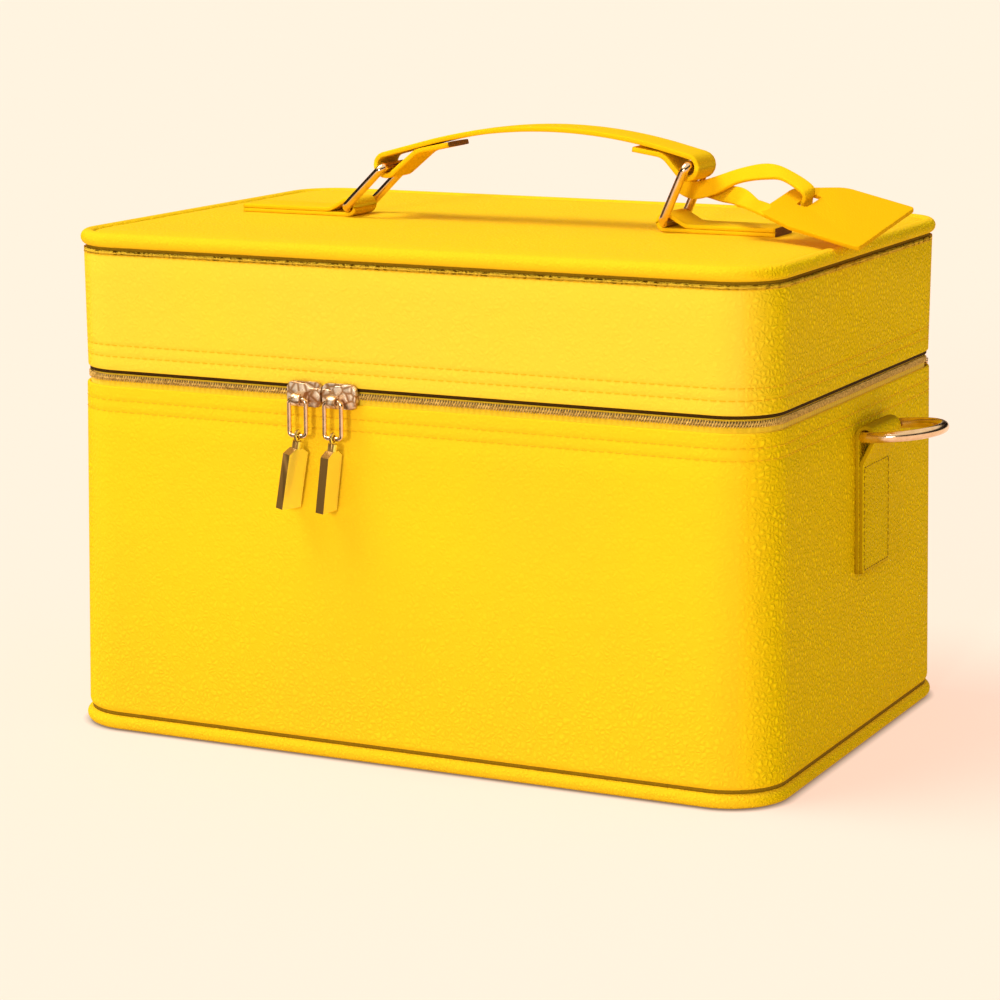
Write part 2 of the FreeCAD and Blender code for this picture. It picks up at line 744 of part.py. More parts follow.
def make_luggage_tag(parts):
    """Tag, the two arms of its strap and the strap's turn round the ring."""
    parts["luggage_tag"] = make_tag()
    parts["tag_strap_upper"] = make_ribbon(upper_arm_stations())
    parts["tag_strap_lower"] = make_ribbon(lower_arm_stations())
    parts["tag_strap_wrap"] = make_tag_wrap()


def divider(length_x, length_y, middle_x, middle_y):
    """Upright padded panel standing on the floor of the box."""
    corner = V(middle_x - length_x / 2, middle_y - length_y / 2, floor_height + divider_clearance)
    return Part.makeBox(length_x, length_y, divider_height, corner)


def make_dividers(parts):
    """Padded panels that split the inside into compartments."""
    top = floor_height + divider_clearance + divider_height
    half_x = side_face(top) - wall_depth - divider_clearance
    front = front_face(top) + wall_depth + divider_clearance
    parts["long_divider"] = divider(2 * half_x, divider_thickness, 0, long_divider_place)
    front_back = long_divider_place - divider_thickness / 2 - divider_clearance
    rear_front = long_divider_place + divider_thickness / 2 + divider_clearance
    front_middle = (front + front_back) / 2
    rear_middle = (rear_front - front) / 2
    for name, side in (("left", -1), ("right", 1)):
        place = side * front_divider_spacing / 2
        parts["front_divider_" + name] = divider(divider_thickness, front_back - front, place, front_middle)
    parts["rear_divider"] = divider(divider_thickness, -front - rear_front, rear_divider_place, rear_middle)


def build():
    """All pieces by name."""
    parts = {}
    make_body(parts)
    make_lid(parts)
    make_zip(parts)
    make_pulls(parts)
    make_carrying_handle(parts)
    make_side_rings(parts)
    make_luggage_tag(parts)
    make_dividers(parts)
    return parts


os.makedirs("parts", exist_ok=True)
for node, shape in build().items():
    shape.exportStep("parts/" + node + ".step")
    box = shape.BoundBox
    print(node, len(shape.Solids), shape.isValid(), round(shape.Volume, 1),
          [round(value, 1) for value in (box.XMin, box.XMax, box.YMin, box.YMax, box.ZMin, box.ZMax)])
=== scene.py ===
"""Looks of the makeup train case: leather shells, zip, handle, rings, tag and the padded inside,
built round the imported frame. Metres, +Z up, the front towards -Y."""
import json
import math

import bmesh
import bpy
from mathutils import Euler, Matrix, Vector

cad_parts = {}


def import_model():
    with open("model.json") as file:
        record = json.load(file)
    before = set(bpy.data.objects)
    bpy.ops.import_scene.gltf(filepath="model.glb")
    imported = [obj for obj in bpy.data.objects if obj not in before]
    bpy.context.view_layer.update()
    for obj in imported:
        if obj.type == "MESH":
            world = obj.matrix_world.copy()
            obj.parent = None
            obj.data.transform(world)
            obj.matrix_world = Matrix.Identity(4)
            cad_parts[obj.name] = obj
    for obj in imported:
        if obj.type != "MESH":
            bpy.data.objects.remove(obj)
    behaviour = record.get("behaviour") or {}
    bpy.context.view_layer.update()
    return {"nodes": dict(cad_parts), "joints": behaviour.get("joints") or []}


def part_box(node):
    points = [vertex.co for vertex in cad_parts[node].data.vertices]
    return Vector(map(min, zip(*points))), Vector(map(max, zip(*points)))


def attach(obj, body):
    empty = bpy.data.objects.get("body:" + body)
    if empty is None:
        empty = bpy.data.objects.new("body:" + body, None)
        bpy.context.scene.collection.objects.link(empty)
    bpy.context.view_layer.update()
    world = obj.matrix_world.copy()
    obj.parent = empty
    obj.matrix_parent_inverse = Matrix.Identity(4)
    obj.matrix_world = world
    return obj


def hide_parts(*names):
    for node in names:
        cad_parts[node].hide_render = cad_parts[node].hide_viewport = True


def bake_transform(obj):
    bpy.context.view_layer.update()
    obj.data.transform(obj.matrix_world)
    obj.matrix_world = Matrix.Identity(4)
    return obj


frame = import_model()
nodes = frame["nodes"]

MM = 0.001
RIGHT = Vector((1, 0, 0))
BACK = Vector((0, 1, 0))
UP = Vector((0, 0, 1))

# Levels and outline read from the frame
case_low, case_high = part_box("lower_cover")
lid_low, lid_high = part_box("lid_cover")
half_x = case_high.x
half_y = case_high.y
rim = case_high.z
wall_foot = case_low.z
lid_edge = lid_low.z
lid_wall_top = lid_high.z
lid_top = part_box("lid_top_cover")[1].z
base_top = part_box("base_piping")[1].z

# Wall shape, as in the part's source
corner_radius = 24 * MM
wall_lean = 2.45 * MM
lid_set_in = 2.95 * MM
lid_flare = 0.5 * MM
leather = 1.4 * MM
tape_depth = 1.45 * MM
tape_back = 2.35 * MM
lining_depth = 4.85 * MM
wall_depth = 5.65 * MM
zip_end = 84 * MM
zip_middle = (rim + lid_edge) / 2
clear = 0.08 * MM               # left between two layers that lie on each other

# Stitching
stitch_pitch = 3.4 * MM
stitch_length = 2.5 * MM
thread = 0.42 * MM
groove_half = 0.8 * MM
groove_depth = 0.2 * MM
rim_rows = (5.5 * MM, 10 * MM)  # distance of the two seams from the zip's edges
top_row = 2.7 * MM              # seam under the lid's piping


def link_object(name, mesh):
    """Puts a mesh in the scene as a new object."""
    piece = bpy.data.objects.new(name, mesh)
    bpy.context.scene.collection.objects.link(piece)
    return piece


def smooth(piece):
    """Smooth shading all over."""
    for face in piece.data.polygons:
        face.use_smooth = True
    return piece


def reworked(mesh, change=None):
    """Makes a change to a mesh's points and faces, and turns its normals outwards."""
    shell = bmesh.new()
    shell.from_mesh(mesh)
    if change:
        change(shell)
    bmesh.ops.recalc_face_normals(shell, faces=shell.faces)
    shell.to_mesh(mesh)
    shell.free()


def mesh_piece(name, points, faces, material):
    """New object from points and faces, with outward normals."""
    mesh = bpy.data.meshes.new(name)
    mesh.from_pydata([tuple(point) for point in points], [], faces)
    reworked(mesh)
    mesh.materials.append(material)
    return smooth(link_object(name, mesh))


def grid_faces(rows, columns, close_rows, close_columns):
    """Quads of a grid of points, row after row."""
    faces = []
    for row in range(rows if close_rows else rows - 1):
        for column in range(columns if close_columns else columns - 1):
            here = row * columns
            there = (row + 1) % rows * columns
            beside = (column + 1) % columns
            faces.append((here + column, here + beside, there + beside, there + column))
    return faces


def tube_faces(rows, columns, start=0):
    """Faces of a tube of points with closed ends, row after row; its points are numbered from start."""
    last = (rows - 1) * columns
    faces = grid_faces(rows, columns, False, True)
    faces += [tuple(range(first, first + columns)) for first in (0, last)]
    return [tuple(start + corner for corner in face) for face in faces]


def arc(finish, step):
    """Cosine and sine of each angle from 0 to before finish, in degrees."""
    turns = [math.radians(angle) for angle in range(0, finish, step)]
    return [(math.cos(turn), math.sin(turn)) for turn in turns]


def spread(start, finish, step):
    """Evenly spaced values from start up to but without finish."""
    count = max(1, math.ceil(abs(finish - start) / step))
    return [start + (finish - start) * index / count for index in range(count)]


def round_walk(corner_steps=14, straight_step=7 * MM):
    """Places round the base outline, each with its outward direction, from the right side's back."""
    inner_x = half_x - corner_radius
    inner_y = half_y - corner_radius
    walk = []
    sides = ((1, 1, 0), (-1, 1, 90), (-1, -1, 180), (1, -1, 270))
    for sign_x, sign_y, start in sides:
        centre = Vector((sign_x * inner_x, sign_y * inner_y, 0))
        for index in range(corner_steps):
            angle = math.radians(start + 90 * index / corner_steps)
            way = Vector((math.cos(angle), math.sin(angle), 0))
            walk.append((centre + way * corner_radius, way))
        angle = math.radians(start + 90)
        way = Vector((round(math.cos(angle)), round(math.sin(angle)), 0))
        begin = centre + way * corner_radius
        run = Vector((-way.y, way.x, 0))
        length = 2 * (inner_x if abs(way.y) > 0.5 else inner_y)
        for distance in spread(0, length, straight_step):
            walk.append((begin + run * distance, way))
    return walk


full_walk = round_walk()


def open_walk(keep):
    """The part of the walk that a test keeps, in order along the outline."""
    count = len(full_walk)
    flags = [keep(place) for place, way in full_walk]
    first = next(i for i in range(count) if flags[i] and not flags[i - 1])
    chosen = []
    for index in range(count):
        turn = (first + index) % count
        if flags[turn]:
            chosen.append(full_walk[turn])
    return chosen


def sweep(name, walk, profile, material, closed=True, round_section=True):
    """Carries a profile of (outward, height) pairs along a walk round the box."""
    points = []
    for place, way in walk:
        for outward, height in profile:
            points.append(place + way * outward + UP * height)
    if round_section and not closed:
        faces = tube_faces(len(walk), len(profile))
    else:
        faces = grid_faces(len(walk), len(profile), closed, round_section)
    return mesh_piece(name, points, faces, material)


def body_out(height):
    """How far the body's face stands out from the base outline at a height."""
    return -wall_lean * (height - wall_foot) / (rim - wall_foot)


def lid_out(height):
    """The same for the lid's face."""
    return lid_flare * (height - lid_edge) / (lid_wall_top - lid_edge) - lid_set_in


def groove(height):
    """Heights and depths across one stitched groove, from below to above."""
    shares = (-1, -0.55, 0, 0.55, 1)
    depths = (0, 0.65, 1, 0.65, 0)
    pairs = zip(shares, depths)
    return [(height + groove_half * share, -groove_depth * depth) for share, depth in pairs]


def edge_round(face_out, edge, inward, thickness):
    """Rounded free edge of a leather layer, from its face to its back; inward is away from the edge."""
    half = thickness / 2
    middle = face_out - half
    return [(middle + half * cos, edge + inward * (half - half * sin)) for cos, sin in arc(181, 22)]


# Materials

WHITE = (1, 1, 1)


def fill(tree, node, inputs):
    """Sets a node's inputs: a socket is linked, anything else is a constant value."""
    for key, value in inputs.items():
        if isinstance(value, bpy.types.NodeSocket):
            tree.links.new(value, node.inputs[key])
        else:
            node.inputs[key].default_value = value
    return node


def add(tree, kind, inputs, **settings):
    """New shader node of a kind, with its settings and inputs."""
    node = tree.nodes.new("ShaderNode" + kind)
    for name, value in settings.items():
        setattr(node, name, value)
    return fill(tree, node, inputs)


def new_material(name):
    """Node material; returns the material, its tree and its shader."""
    material = bpy.data.materials.new(name)
    material.use_nodes = True
    tree = material.node_tree
    return material, tree, tree.nodes["Principled BSDF"]


def object_position(tree):
    """Position on the object."""
    return add(tree, "TexCoord", {}).outputs["Object"]


def noise(tree, place, scale, detail=3.0, rough=0.5):
    """Noise value."""
    inputs = {"Vector": place, "Scale": scale, "Detail": detail, "Roughness": rough}
    return add(tree, "TexNoise", inputs).outputs["Fac"]


def cell_edges(tree, place, scale):
    """Distance from the edges of uneven cells; scale is how many there are in a metre."""
    node = add(tree, "TexVoronoi", {"Vector": place, "Scale": scale}, feature="DISTANCE_TO_EDGE")
    return node.outputs["Distance"]


def ramp(tree, value, stops, easing="LINEAR"):
    """Colour ramp over (position, colour) stops."""
    node = add(tree, "ValToRGB", {"Fac": value})
    node.color_ramp.interpolation = easing
    elements = node.color_ramp.elements
    for index, (position, colour) in enumerate(stops):
        element = elements[index] if index < 2 else elements.new(position)
        element.position = position
        element.color = (*colour, 1)
    return node.outputs["Color"]


def grey_ramp(tree, value, start, finish, low=0.0, high=1.0, easing="LINEAR"):
    """Grey ramp from low at start to high at finish."""
    return ramp(tree, value, [(start, (low,) * 3), (finish, (high,) * 3)], easing)


def combine(tree, operation, first, second, factor=1.0):
    """Mixes two colours with a blend operation."""
    inputs = {0: factor, 6: first, 7: second}
    return add(tree, "Mix", inputs, data_type="RGBA", blend_type=operation).outputs[2]


def arithmetic(tree, operation, first, second=0.0):
    """Math on a socket and a socket or number."""
    return add(tree, "Math", {0: first, 1: second}, operation=operation).outputs[0]


def sum_of(tree, parts):
    """Sum of (socket, share) pairs."""
    total = None
    for socket, share in parts:
        sized = arithmetic(tree, "MULTIPLY", socket, share)
        total = sized if total is None else arithmetic(tree, "ADD", total, sized)
    return total


def vector_step(tree, operation, first, inputs):
    """Vector math on a socket; returns the node's outputs."""
    return add(tree, "VectorMath", {0: first, **inputs}, operation=operation).outputs


def bump(tree, shader, height, strength, distance):
    """Drives the shader's normal from a height."""
    node = add(tree, "Bump", {"Height": height, "Strength": strength, "Distance": distance})
    fill(tree, shader, {"Normal": node.outputs["Normal"]})


def warped(tree, place, scale, reach):
    """Position pushed about by noise, so that cells and threads are uneven."""
    push = add(tree, "TexNoise", {"Vector": place, "Scale": scale}).outputs["Color"]
    sized = vector_step(tree, "SCALE", push, {"Scale": reach})["Vector"]
    return vector_step(tree, "ADD", place, {1: sized})["Vector"]


def grain_shade_places(tree):
    """Where the pebbles' painted valley shade and their relief are strongest, most on the box's ends
    and less low on its walls, standing in for how the light shows the grain, and how much a face looks
    to an end; each from 0 to 1."""
    place = add(tree, "TexCoord", {}).outputs
    facing = add(tree, "SeparateXYZ", {"Vector": place["Normal"]}).outputs["X"]
    ends = grey_ramp(tree, arithmetic(tree, "ABSOLUTE", facing), 0.45, 0.95)
    level = add(tree, "SeparateXYZ", {"Vector": place["Object"]}).outputs["Z"]
    low = grey_ramp(tree, level, 20 * MM, 85 * MM, 0.28, 0.0)
    return arithmetic(tree, "MAXIMUM", ends, low), ends


def leather_material(name, front, ends_tint, pebbles=470, relief=0.75):
    """Coated leather with a pebbled grain, painted shade in the pebbles' valleys and a tint painted by
    which way a face looks, front or end, for how the light falls there; pebbles is how many cells there
    are in a metre.
    """
    valley_shade = (0.74, 0.70, 0.50)
    grain_depth = 0.85 * MM
    material, tree, shader = new_material(name)
    place = warped(tree, object_position(tree), scale=260, reach=1.6 * MM)
    grain_shade_mask, ends = grain_shade_places(tree)
    edges = cell_edges(tree, place, pebbles)
    dome = grey_ramp(tree, edges, 0.0, 0.45, easing="EASE")
    # Painted shade: the pebbles' valleys are darkened.
    shade = ramp(tree, edges, [(0.0, valley_shade), (0.42, WHITE)], "EASE")
    # Painted light: the tint follows which way a face looks, front or end.
    painted_by_side = ramp(tree, ends, [(0.0, front), (1.0, ends_tint)])
    clouds = noise(tree, place, scale=16, detail=2.0)
    by_place = ramp(tree, clouds, [(0.3, front), (0.7, ends_tint)])
    tint = combine(tree, "MIX", painted_by_side, by_place, 0.15)
    shade_and_relief_share = arithmetic(tree, "ADD", arithmetic(tree, "MULTIPLY", grain_shade_mask, 0.85), 0.1)
    fine = noise(tree, place, scale=2400, detail=2.0)
    creases = noise(tree, place, scale=180, detail=3.0, rough=0.6)
    pebble_height = arithmetic(tree, "ADD", shade_and_relief_share, 0.1)
    height = sum_of(tree, [(dome, pebble_height), (fine, 0.12), (creases, 0.6)])
    bump(tree, shader, height, relief, grain_depth)
    # The painted valley shade is strongest on the ends and low on the walls.
    fill(tree, shader, {"Base Color": combine(tree, "MULTIPLY", tint, shade, shade_and_relief_share),
                        "Roughness": 0.6, "Specular IOR Level": 0.01})
    return material


def metal_material(name, deep, pale, rough, lumps=0, plated=1.0, painted_by_side=False):
    """Plated metal with faint cloudy wear, or with a painted reflection: deep on its edges and pale on
    its faces that look to the ends; a chased one has this many lumps in a metre, dark between them."""
    material, tree, shader = new_material(name)
    place = object_position(tree)
    if painted_by_side:
        blend = grain_shade_places(tree)[1]
    else:
        blend = noise(tree, place, scale=320, detail=4.0, rough=0.6)
    tint = ramp(tree, blend, [(0.35, deep), (0.65, pale)])
    fine = noise(tree, place, scale=1500, detail=2.0)
    if lumps:
        edges = cell_edges(tree, place, lumps)
        hollows = ramp(tree, edges, [(0.04, (0.5, 0.32, 0.18)), (0.2, WHITE)])
        tint = combine(tree, "MULTIPLY", tint, hollows)
        relief = grey_ramp(tree, edges, 0.0, 0.4, easing="EASE")
        bump(tree, shader, relief, strength=0.3, distance=0.3 * MM)
    else:
        bump(tree, shader, fine, strength=0.06, distance=0.05 * MM)
    gloss = grey_ramp(tree, fine, 0.3, 0.7, rough, rough * 1.6)
    fill(tree, shader, {"Base Color": tint, "Metallic": plated, "Roughness": gloss})
    return material


def cloth_material(name, deep, pale, threads, relief=0.5):
    """Woven cloth; threads is how many yarns there are in a metre, in each direction."""
    material, tree, shader = new_material(name)
    place = warped(tree, object_position(tree), scale=300, reach=0.25 * MM)
    yarns = []
    for direction in ("X", "Y", "Z"):
        inputs = {"Vector": place, "Scale": threads / 20, "Distortion": 0.4}
        yarns.append(add(tree, "TexWave", inputs, bands_direction=direction).outputs["Fac"])
    crossed = arithmetic(tree, "MULTIPLY", yarns[0], yarns[1])
    weave = sum_of(tree, [(crossed, 1.0), (yarns[2], 0.6)])
    slubs = noise(tree, place, scale=90, detail=4.0, rough=0.6)
    both = sum_of(tree, [(weave, 0.5), (slubs, 1.0)])
    bump(tree, shader, weave, relief, 0.2 * MM)
    tint = ramp(tree, both, [(0.35, deep), (1.0, pale)])
    fill(tree, shader, {"Base Color": tint, "Roughness": 0.85, "Specular IOR Level": 0.2,
                        "Sheen Weight": 0.15})
    return material


def fibre_material(name, deep, pale, scale, rough, relief):
    """Board, foam, thread or raw leather edge: mottled, with small fibres."""
    material, tree, shader = new_material(name)
    fibres = noise(tree, object_position(tree), scale, detail=5.0, rough=0.65)
    bump(tree, shader, fibres, relief, 0.15 * MM)
    tint = ramp(tree, fibres, [(0.3, deep), (0.7, pale)])
    fill(tree, shader, {"Base Color": tint, "Roughness": rough, "Specular IOR Level": 0.1})
    return material


# Leather tints by facing: front_yellow on faces that look forwards, back or up, end_yellow on the ends;
# the difference between them is painted light, for how the lamps fall on front and ends.
front_yellow = (0.93, 0.548, 0.014)
# Paler lid front tint: a painted highlight on the lid's front and back faces.
lid_front_highlight = (0.95, 0.60, 0.042)
end_yellow = (0.99, 0.70, 0.001)
# Strap and tag tints: darker, shaded copies of the leather, painted shade for their strongly lit tops.
strap_shaded_tint = (0.88, 0.53, 0.006)
# Painted shade: a dark tint on the side tabs' faces that look forwards, back or up.
tab_edge_shade = (0.36, 0.21, 0.002)
tag_shaded_tint = (0.82, 0.43, 0.003)
yellow = leather_material("yellow_leather", front_yellow, end_yellow)
lid_yellow = leather_material("lid_leather", lid_front_highlight, end_yellow)
strap_yellow = leather_material("strap_leather", strap_shaded_tint, strap_shaded_tint, 900, 0.3)
tag_yellow = leather_material("tag_leather", tag_shaded_tint, tag_shaded_tint, 900, 0.3)
tab_yellow = leather_material("tab_leather", tab_edge_shade, end_yellow, 560)
raw_edge = fibre_material("raw_leather_edge", (0.10, 0.045, 0.012), (0.24, 0.12, 0.03), 1800, 0.8, 0.4)
yarn = fibre_material("stitch_thread", (0.74, 0.41, 0.004), (0.86, 0.49, 0.006), 5000, 0.7, 0.5)
tape_cloth = cloth_material("zip_tape_cloth", (0.80, 0.50, 0.01), (0.95, 0.62, 0.02), 2600)
coil = fibre_material("zip_coil", (0.26, 0.13, 0.02), (0.92, 0.60, 0.15), 900, 0.5, 0.1)
gold = metal_material("rose_gold", (0.78, 0.52, 0.30), (0.90, 0.66, 0.42), 0.14)
# Pull tags: painted reflection, dark on their edges and pale on their broad faces.
pull_gold = metal_material("painted_reflection_gold", (0.30, 0.17, 0.04), (1.0, 0.93, 0.19), 0.15, plated=0.7,
                           painted_by_side=True)
chased_gold = metal_material("chased_gold", (0.92, 0.72, 0.50), (0.98, 0.84, 0.64), 0.25, 300, 0.8)
lining_cloth = cloth_material("lining_cloth", (0.33, 0.25, 0.14), (0.60, 0.49, 0.31), 1500)
card = fibre_material("stiffening_board", (0.30, 0.23, 0.15), (0.50, 0.40, 0.28), 500, 0.9, 0.3)
foam = fibre_material("foam_interlining", (0.62, 0.61, 0.57), (0.82, 0.81, 0.78), 1400, 0.9, 0.6)
# Piping leather carries the same painted tints by facing.
piping_yellow = leather_material("piping_leather", front_yellow, end_yellow, 620)
# Painted shade: dark bands in the open seam lines and under the lid's edge, for the shadow in those
# gaps.
seam_shade = fibre_material("seam_shade", (0.20, 0.115, 0.002), (0.28, 0.165, 0.003), 1500, 0.9, 0.3)
# Near-black painted shadow for the band under the lid's edge.
edge_shade = fibre_material("edge_shade", (0.03, 0.014, 0.001), (0.06, 0.03, 0.001), 1500, 0.9, 0.3)
tab_yarn = fibre_material("tab_thread", (0.20, 0.11, 0.001), (0.34, 0.19, 0.002), 5000, 0.7, 0.5)


# Leather shells, piping and lining

def turn_in(face, end, inward, tuck, rise):
    """Sheet that curves in from its face to an end at a seam or corner; inward is away from it."""
    return [(face - tuck * (1 - cos), end + inward * rise * (1 - sin)) for cos, sin in arc(91, 15)]


def face_points(out_at, low, high, grooves):
    """Points up a wall's face with its stitched grooves, from low to high."""
    step = 9 * MM
    after_groove = 1 * MM
    points = []
    start = low
    for height in grooves:
        for level in spread(start, height - groove_half, step):
            points.append((out_at(level), level))
        for level, depth in groove(height):
            points.append((out_at(level) + depth, level))
        start = height + groove_half + after_groove
    for level in spread(start, high, step):
        points.append((out_at(level), level))
    return points


seam_open = 1.2 * MM            # gap left between the leather's edge and a piping, darkened by a painted shade band
back_step = 12 * MM             # first place down the leather's back from its free edge


def body_shell():
    """Leather round the body: tucked in at the base seam, stitched twice under its rounded rim."""
    rise = 3.0 * MM
    face_low = wall_foot + seam_open + rise
    foot = turn_in(body_out(wall_foot), wall_foot + seam_open, 1, leather, rise)
    rows = sorted(rim - row for row in rim_rows)
    face = face_points(body_out, face_low, rim - leather / 2, rows)
    edge = edge_round(body_out(rim), rim, -1, leather)
    back = [(body_out(level) - leather, level) for level in (rim - back_step, face_low)]
    profile = foot[::-1][:-1] + face + edge + back
    piece = sweep("body_leather", full_walk, profile, yellow)
    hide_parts("lower_cover")
    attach(piece, "case")


def lid_shell():
    """Leather round the lid: stitched twice over its rounded edge and once under the piping."""
    rise = 1.4 * MM
    seam_level = lid_wall_top - seam_open
    rows = sorted([lid_edge + row for row in rim_rows] + [lid_wall_top - top_row])
    face = face_points(lid_out, lid_edge + leather / 2, seam_level - rise, rows)
    edge = edge_round(lid_out(lid_edge), lid_edge, 1, leather)
    top = turn_in(lid_out(seam_level), seam_level, -1, leather, rise)
    back = [(lid_out(level) - leather, level) for level in (seam_level - rise, lid_edge + back_step)]
    profile = edge[::-1] + face[1:] + top + back
    piece = sweep("lid_leather", full_walk, profile, lid_yellow)
    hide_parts("lid_cover")
    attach(piece, "lid")


def piping(name, node, body):
    """Rolled leather piping in the place of its CAD node."""
    low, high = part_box(node)
    radius = (high.z - low.z) / 2
    middle = high.x - radius - half_x
    profile = [(middle + radius * cos, low.z + radius + radius * sin) for cos, sin in arc(360, 18)]
    piece = sweep(name, full_walk, profile, piping_yellow)
    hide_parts(node)
    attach(piece, body)


sheet_margin = 14 * MM          # shaped rim of the top and base sheets, inside their corners' radius
lining_margin = 2 * MM          # radius left at the corners of the lining's flat


def panel(name, profile, material):
    """A profile carried round the box and closed by a flat sheet at each end of it."""
    piece = sweep(name, full_walk, profile, material, True, False)
    count = len(profile)

    def close(shell):
        """Adds the two sheets."""
        shell.verts.ensure_lookup_table()
        for index in (0, count - 1):
            shell.faces.new([shell.verts[turn * count + index] for turn in range(len(full_walk))])

    reworked(piece.data, close)
    return smooth(piece)


def lid_top_panel():
    """Top of the lid: leather that rises softly out of the valley beside the piping."""
    low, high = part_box("lid_top_cover")
    edge = high.x - half_x
    under = low.z + clear
    inner = edge - sheet_margin
    rises = [(0.8, 1.6), (0, 1.1), (-1.2, 0.75), (-3, 0.5), (-6, 0.25), (-10, 0.07)]
    crown = [(edge + out * MM, high.z - drop * MM) for out, drop in rises]
    profile = [(inner, under), (edge, under)] + crown + [(inner, high.z)]
    piece = panel("lid_top_leather", profile, yellow)
    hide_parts("lid_top_cover")
    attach(piece, "lid")


def base_panel():
    """Underside of the case, a leather sheet that tucks up beside the piping."""
    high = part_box("base_cover")[1]
    edge = high.x - half_x
    inner = edge - sheet_margin
    top = high.z - clear
    dips = [(0, 0.9), (0.6, 0.35), (2, 0.08), (5, 0)]
    turn = [(edge - out * MM, height * MM) for out, height in dips]
    profile = [(inner, top), (edge, top)] + turn + [(inner, 0)]
    piece = panel("base_leather", profile, yellow)
    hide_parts("base_cover")
    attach(piece, "case")


def lining(name, node, body, out_at, edge, outward, flat):
    """Lining cloth: folded over the board at the zip's edge, down the wall and across the flat."""
    fold = 0.65 * MM
    thick = wall_depth - lining_depth
    corner = 4 * MM
    inner = lining_margin - corner_radius
    behind_tape = tape_back + clear
    back = lining_depth + clear
    inside = flat + outward * thick
    face = out_at(edge)
    skin = [(inner, flat), (out_at(flat) - back, flat), (face - back, edge + outward * clear),
            (face - behind_tape, edge + outward * clear)]
    cover = [(face - behind_tape, edge + outward * fold * 0.6),
             (face - behind_tape - fold * 0.5, edge + outward * fold),
             (face - wall_depth + fold, edge + outward * fold),
             (face - wall_depth + fold * 0.3, edge + outward * fold * 0.7),
             (face - wall_depth, edge - outward * fold * 0.3)]
    turn = turn_in(out_at(inside) - wall_depth, inside, outward, corner, corner)
    piece = panel(name, skin + cover + turn + [(inner, inside)], lining_cloth)
    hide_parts(node)
    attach(piece, body)


def dark_band(name, body, out_at, low, high, depth, material):
    """Dark band behind the open line of a seam, from a depth inwards: painted shade for the shadow in
    the gap.
    """
    profile = [(out_at(low) - tape_back, low), (out_at(low) - depth, low),
               (out_at(high) - depth, high), (out_at(high) - tape_back, high)]
    piece = sweep(name, full_walk, profile, material)
    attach(piece, body)


seam_depth = 1.0 * MM
body_shell()
lid_shell()
# Painted shade in the open lines above the base piping and under the lid's piping.
dark_band("base_seam_shade_band", "case", body_out, wall_foot - seam_open / 3, wall_foot + 2 * seam_open,
          seam_depth, seam_shade)
dark_band("lid_seam_shade_band", "lid", lid_out, lid_wall_top - 1.5 * seam_open, lid_wall_top + seam_open / 3,
          seam_depth, seam_shade)
piping("base_piping_leather", "base_piping", "case")
piping("lid_piping_leather", "lid_piping", "lid")
lid_top_panel()
base_panel()
lining("body_lining", "lower_lining", "case", body_out, rim, 1, base_top + clear)
lining("lid_inside_lining", "lid_lining", "lid", lid_out, lid_edge, -1, lid_wall_top - clear)


# Stitching and the zip

def along_walk(walk, out, pitch, closed):
    """Places at an even pitch along a walk, each with its run and outward directions."""
    places = [place + way * out for place, way in walk]
    ways = [way for place, way in walk]
    if closed:
        places.append(places[0])
        ways.append(ways[0])
    lengths = [(places[i + 1] - places[i]).length for i in range(len(places) - 1)]
    total = sum(lengths)
    count = round(total / pitch)
    found = []
    index = 0
    passed = 0
    for number in range(count):
        target = (number + 0.5) * total / count
        while passed + lengths[index] < target:
            passed += lengths[index]
            index += 1
        share = (target - passed) / lengths[index]
        run = (places[index + 1] - places[index]).normalized()
        way = ways[index].lerp(ways[index + 1], share).normalized()
        found.append((places[index].lerp(places[index + 1], share), run, way))
    return found


def bead_mesh(name, beads, material, sides=6):
    """Many small round-ended rods in one mesh; a bead is its middle, long way, out way, length,
    thickness and how deep its ends sink."""
    rings = ((-0.5, 0.45, 1), (-0.32, 1, 0.15), (0.32, 1, 0.15), (0.5, 0.45, 1))
    points = []
    faces = []
    for middle, long_way, out_way, length, thickness, sink in beads:
        start = len(points)
        beside = long_way.cross(out_way)
        for share, fullness, depth in rings:
            centre = middle + long_way * (share * length) - out_way * (sink * depth)
            for side in range(sides):
                turn = 2 * math.pi * side / sides
                reach = thickness / 2 * fullness
                outward = out_way * (reach * math.cos(turn))
                points.append(centre + outward + beside * (reach * math.sin(turn)))
        faces += tube_faces(len(rings), sides, start)
    return mesh_piece(name, points, faces, material)


def seam(name, body, out_at, height):
    """One row of stitches all round the box, lying in its groove."""
    out = out_at(height) - groove_depth + thread * 0.3
    beads = []
    for place, run, way in along_walk(full_walk, out, stitch_pitch, True):
        beads.append((place + UP * height, run, way, stitch_length, thread, thread * 0.4))
    piece = bead_mesh(name, beads, yarn)
    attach(piece, body)


def zip_walk():
    """Walk from the zip's end on one side round the front to its end on the other."""
    return open_walk(lambda place: place.y < zip_end)


def zip_row(name, node, body, out_at, low, high, shift):
    """One row of coil teeth: small upright rods that slant a little."""
    pitch = 1.1 * MM
    front = 0.95 * MM
    tooth = 0.6 * MM
    slant = 0.22
    sink = 0.25 * MM
    beads = []
    height = (low + high) / 2
    for place, run, way in along_walk(zip_walk(), out_at(height) - front, pitch, False):
        middle = place + run * (shift * pitch) + UP * height
        beads.append((middle, (UP + run * slant).normalized(), way, high - low, tooth, sink))
    piece = bead_mesh(name, beads, coil)
    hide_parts(node)
    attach(piece, body)


def tape(name, node, body, out_at, low, high):
    """Woven band behind the teeth, with its corners cut off."""
    near = out_at(rim) - tape_depth - clear
    far = out_at(rim) - tape_back + clear
    edge = 0.25 * MM
    profile = [(near, low + edge), (near, high - edge), (near - edge, high), (far + edge, high),
               (far, high - edge), (far, low + edge), (far + edge, low), (near - edge, low)]
    piece = sweep(name, zip_walk(), profile, tape_cloth, False)
    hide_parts(node)
    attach(piece, body)


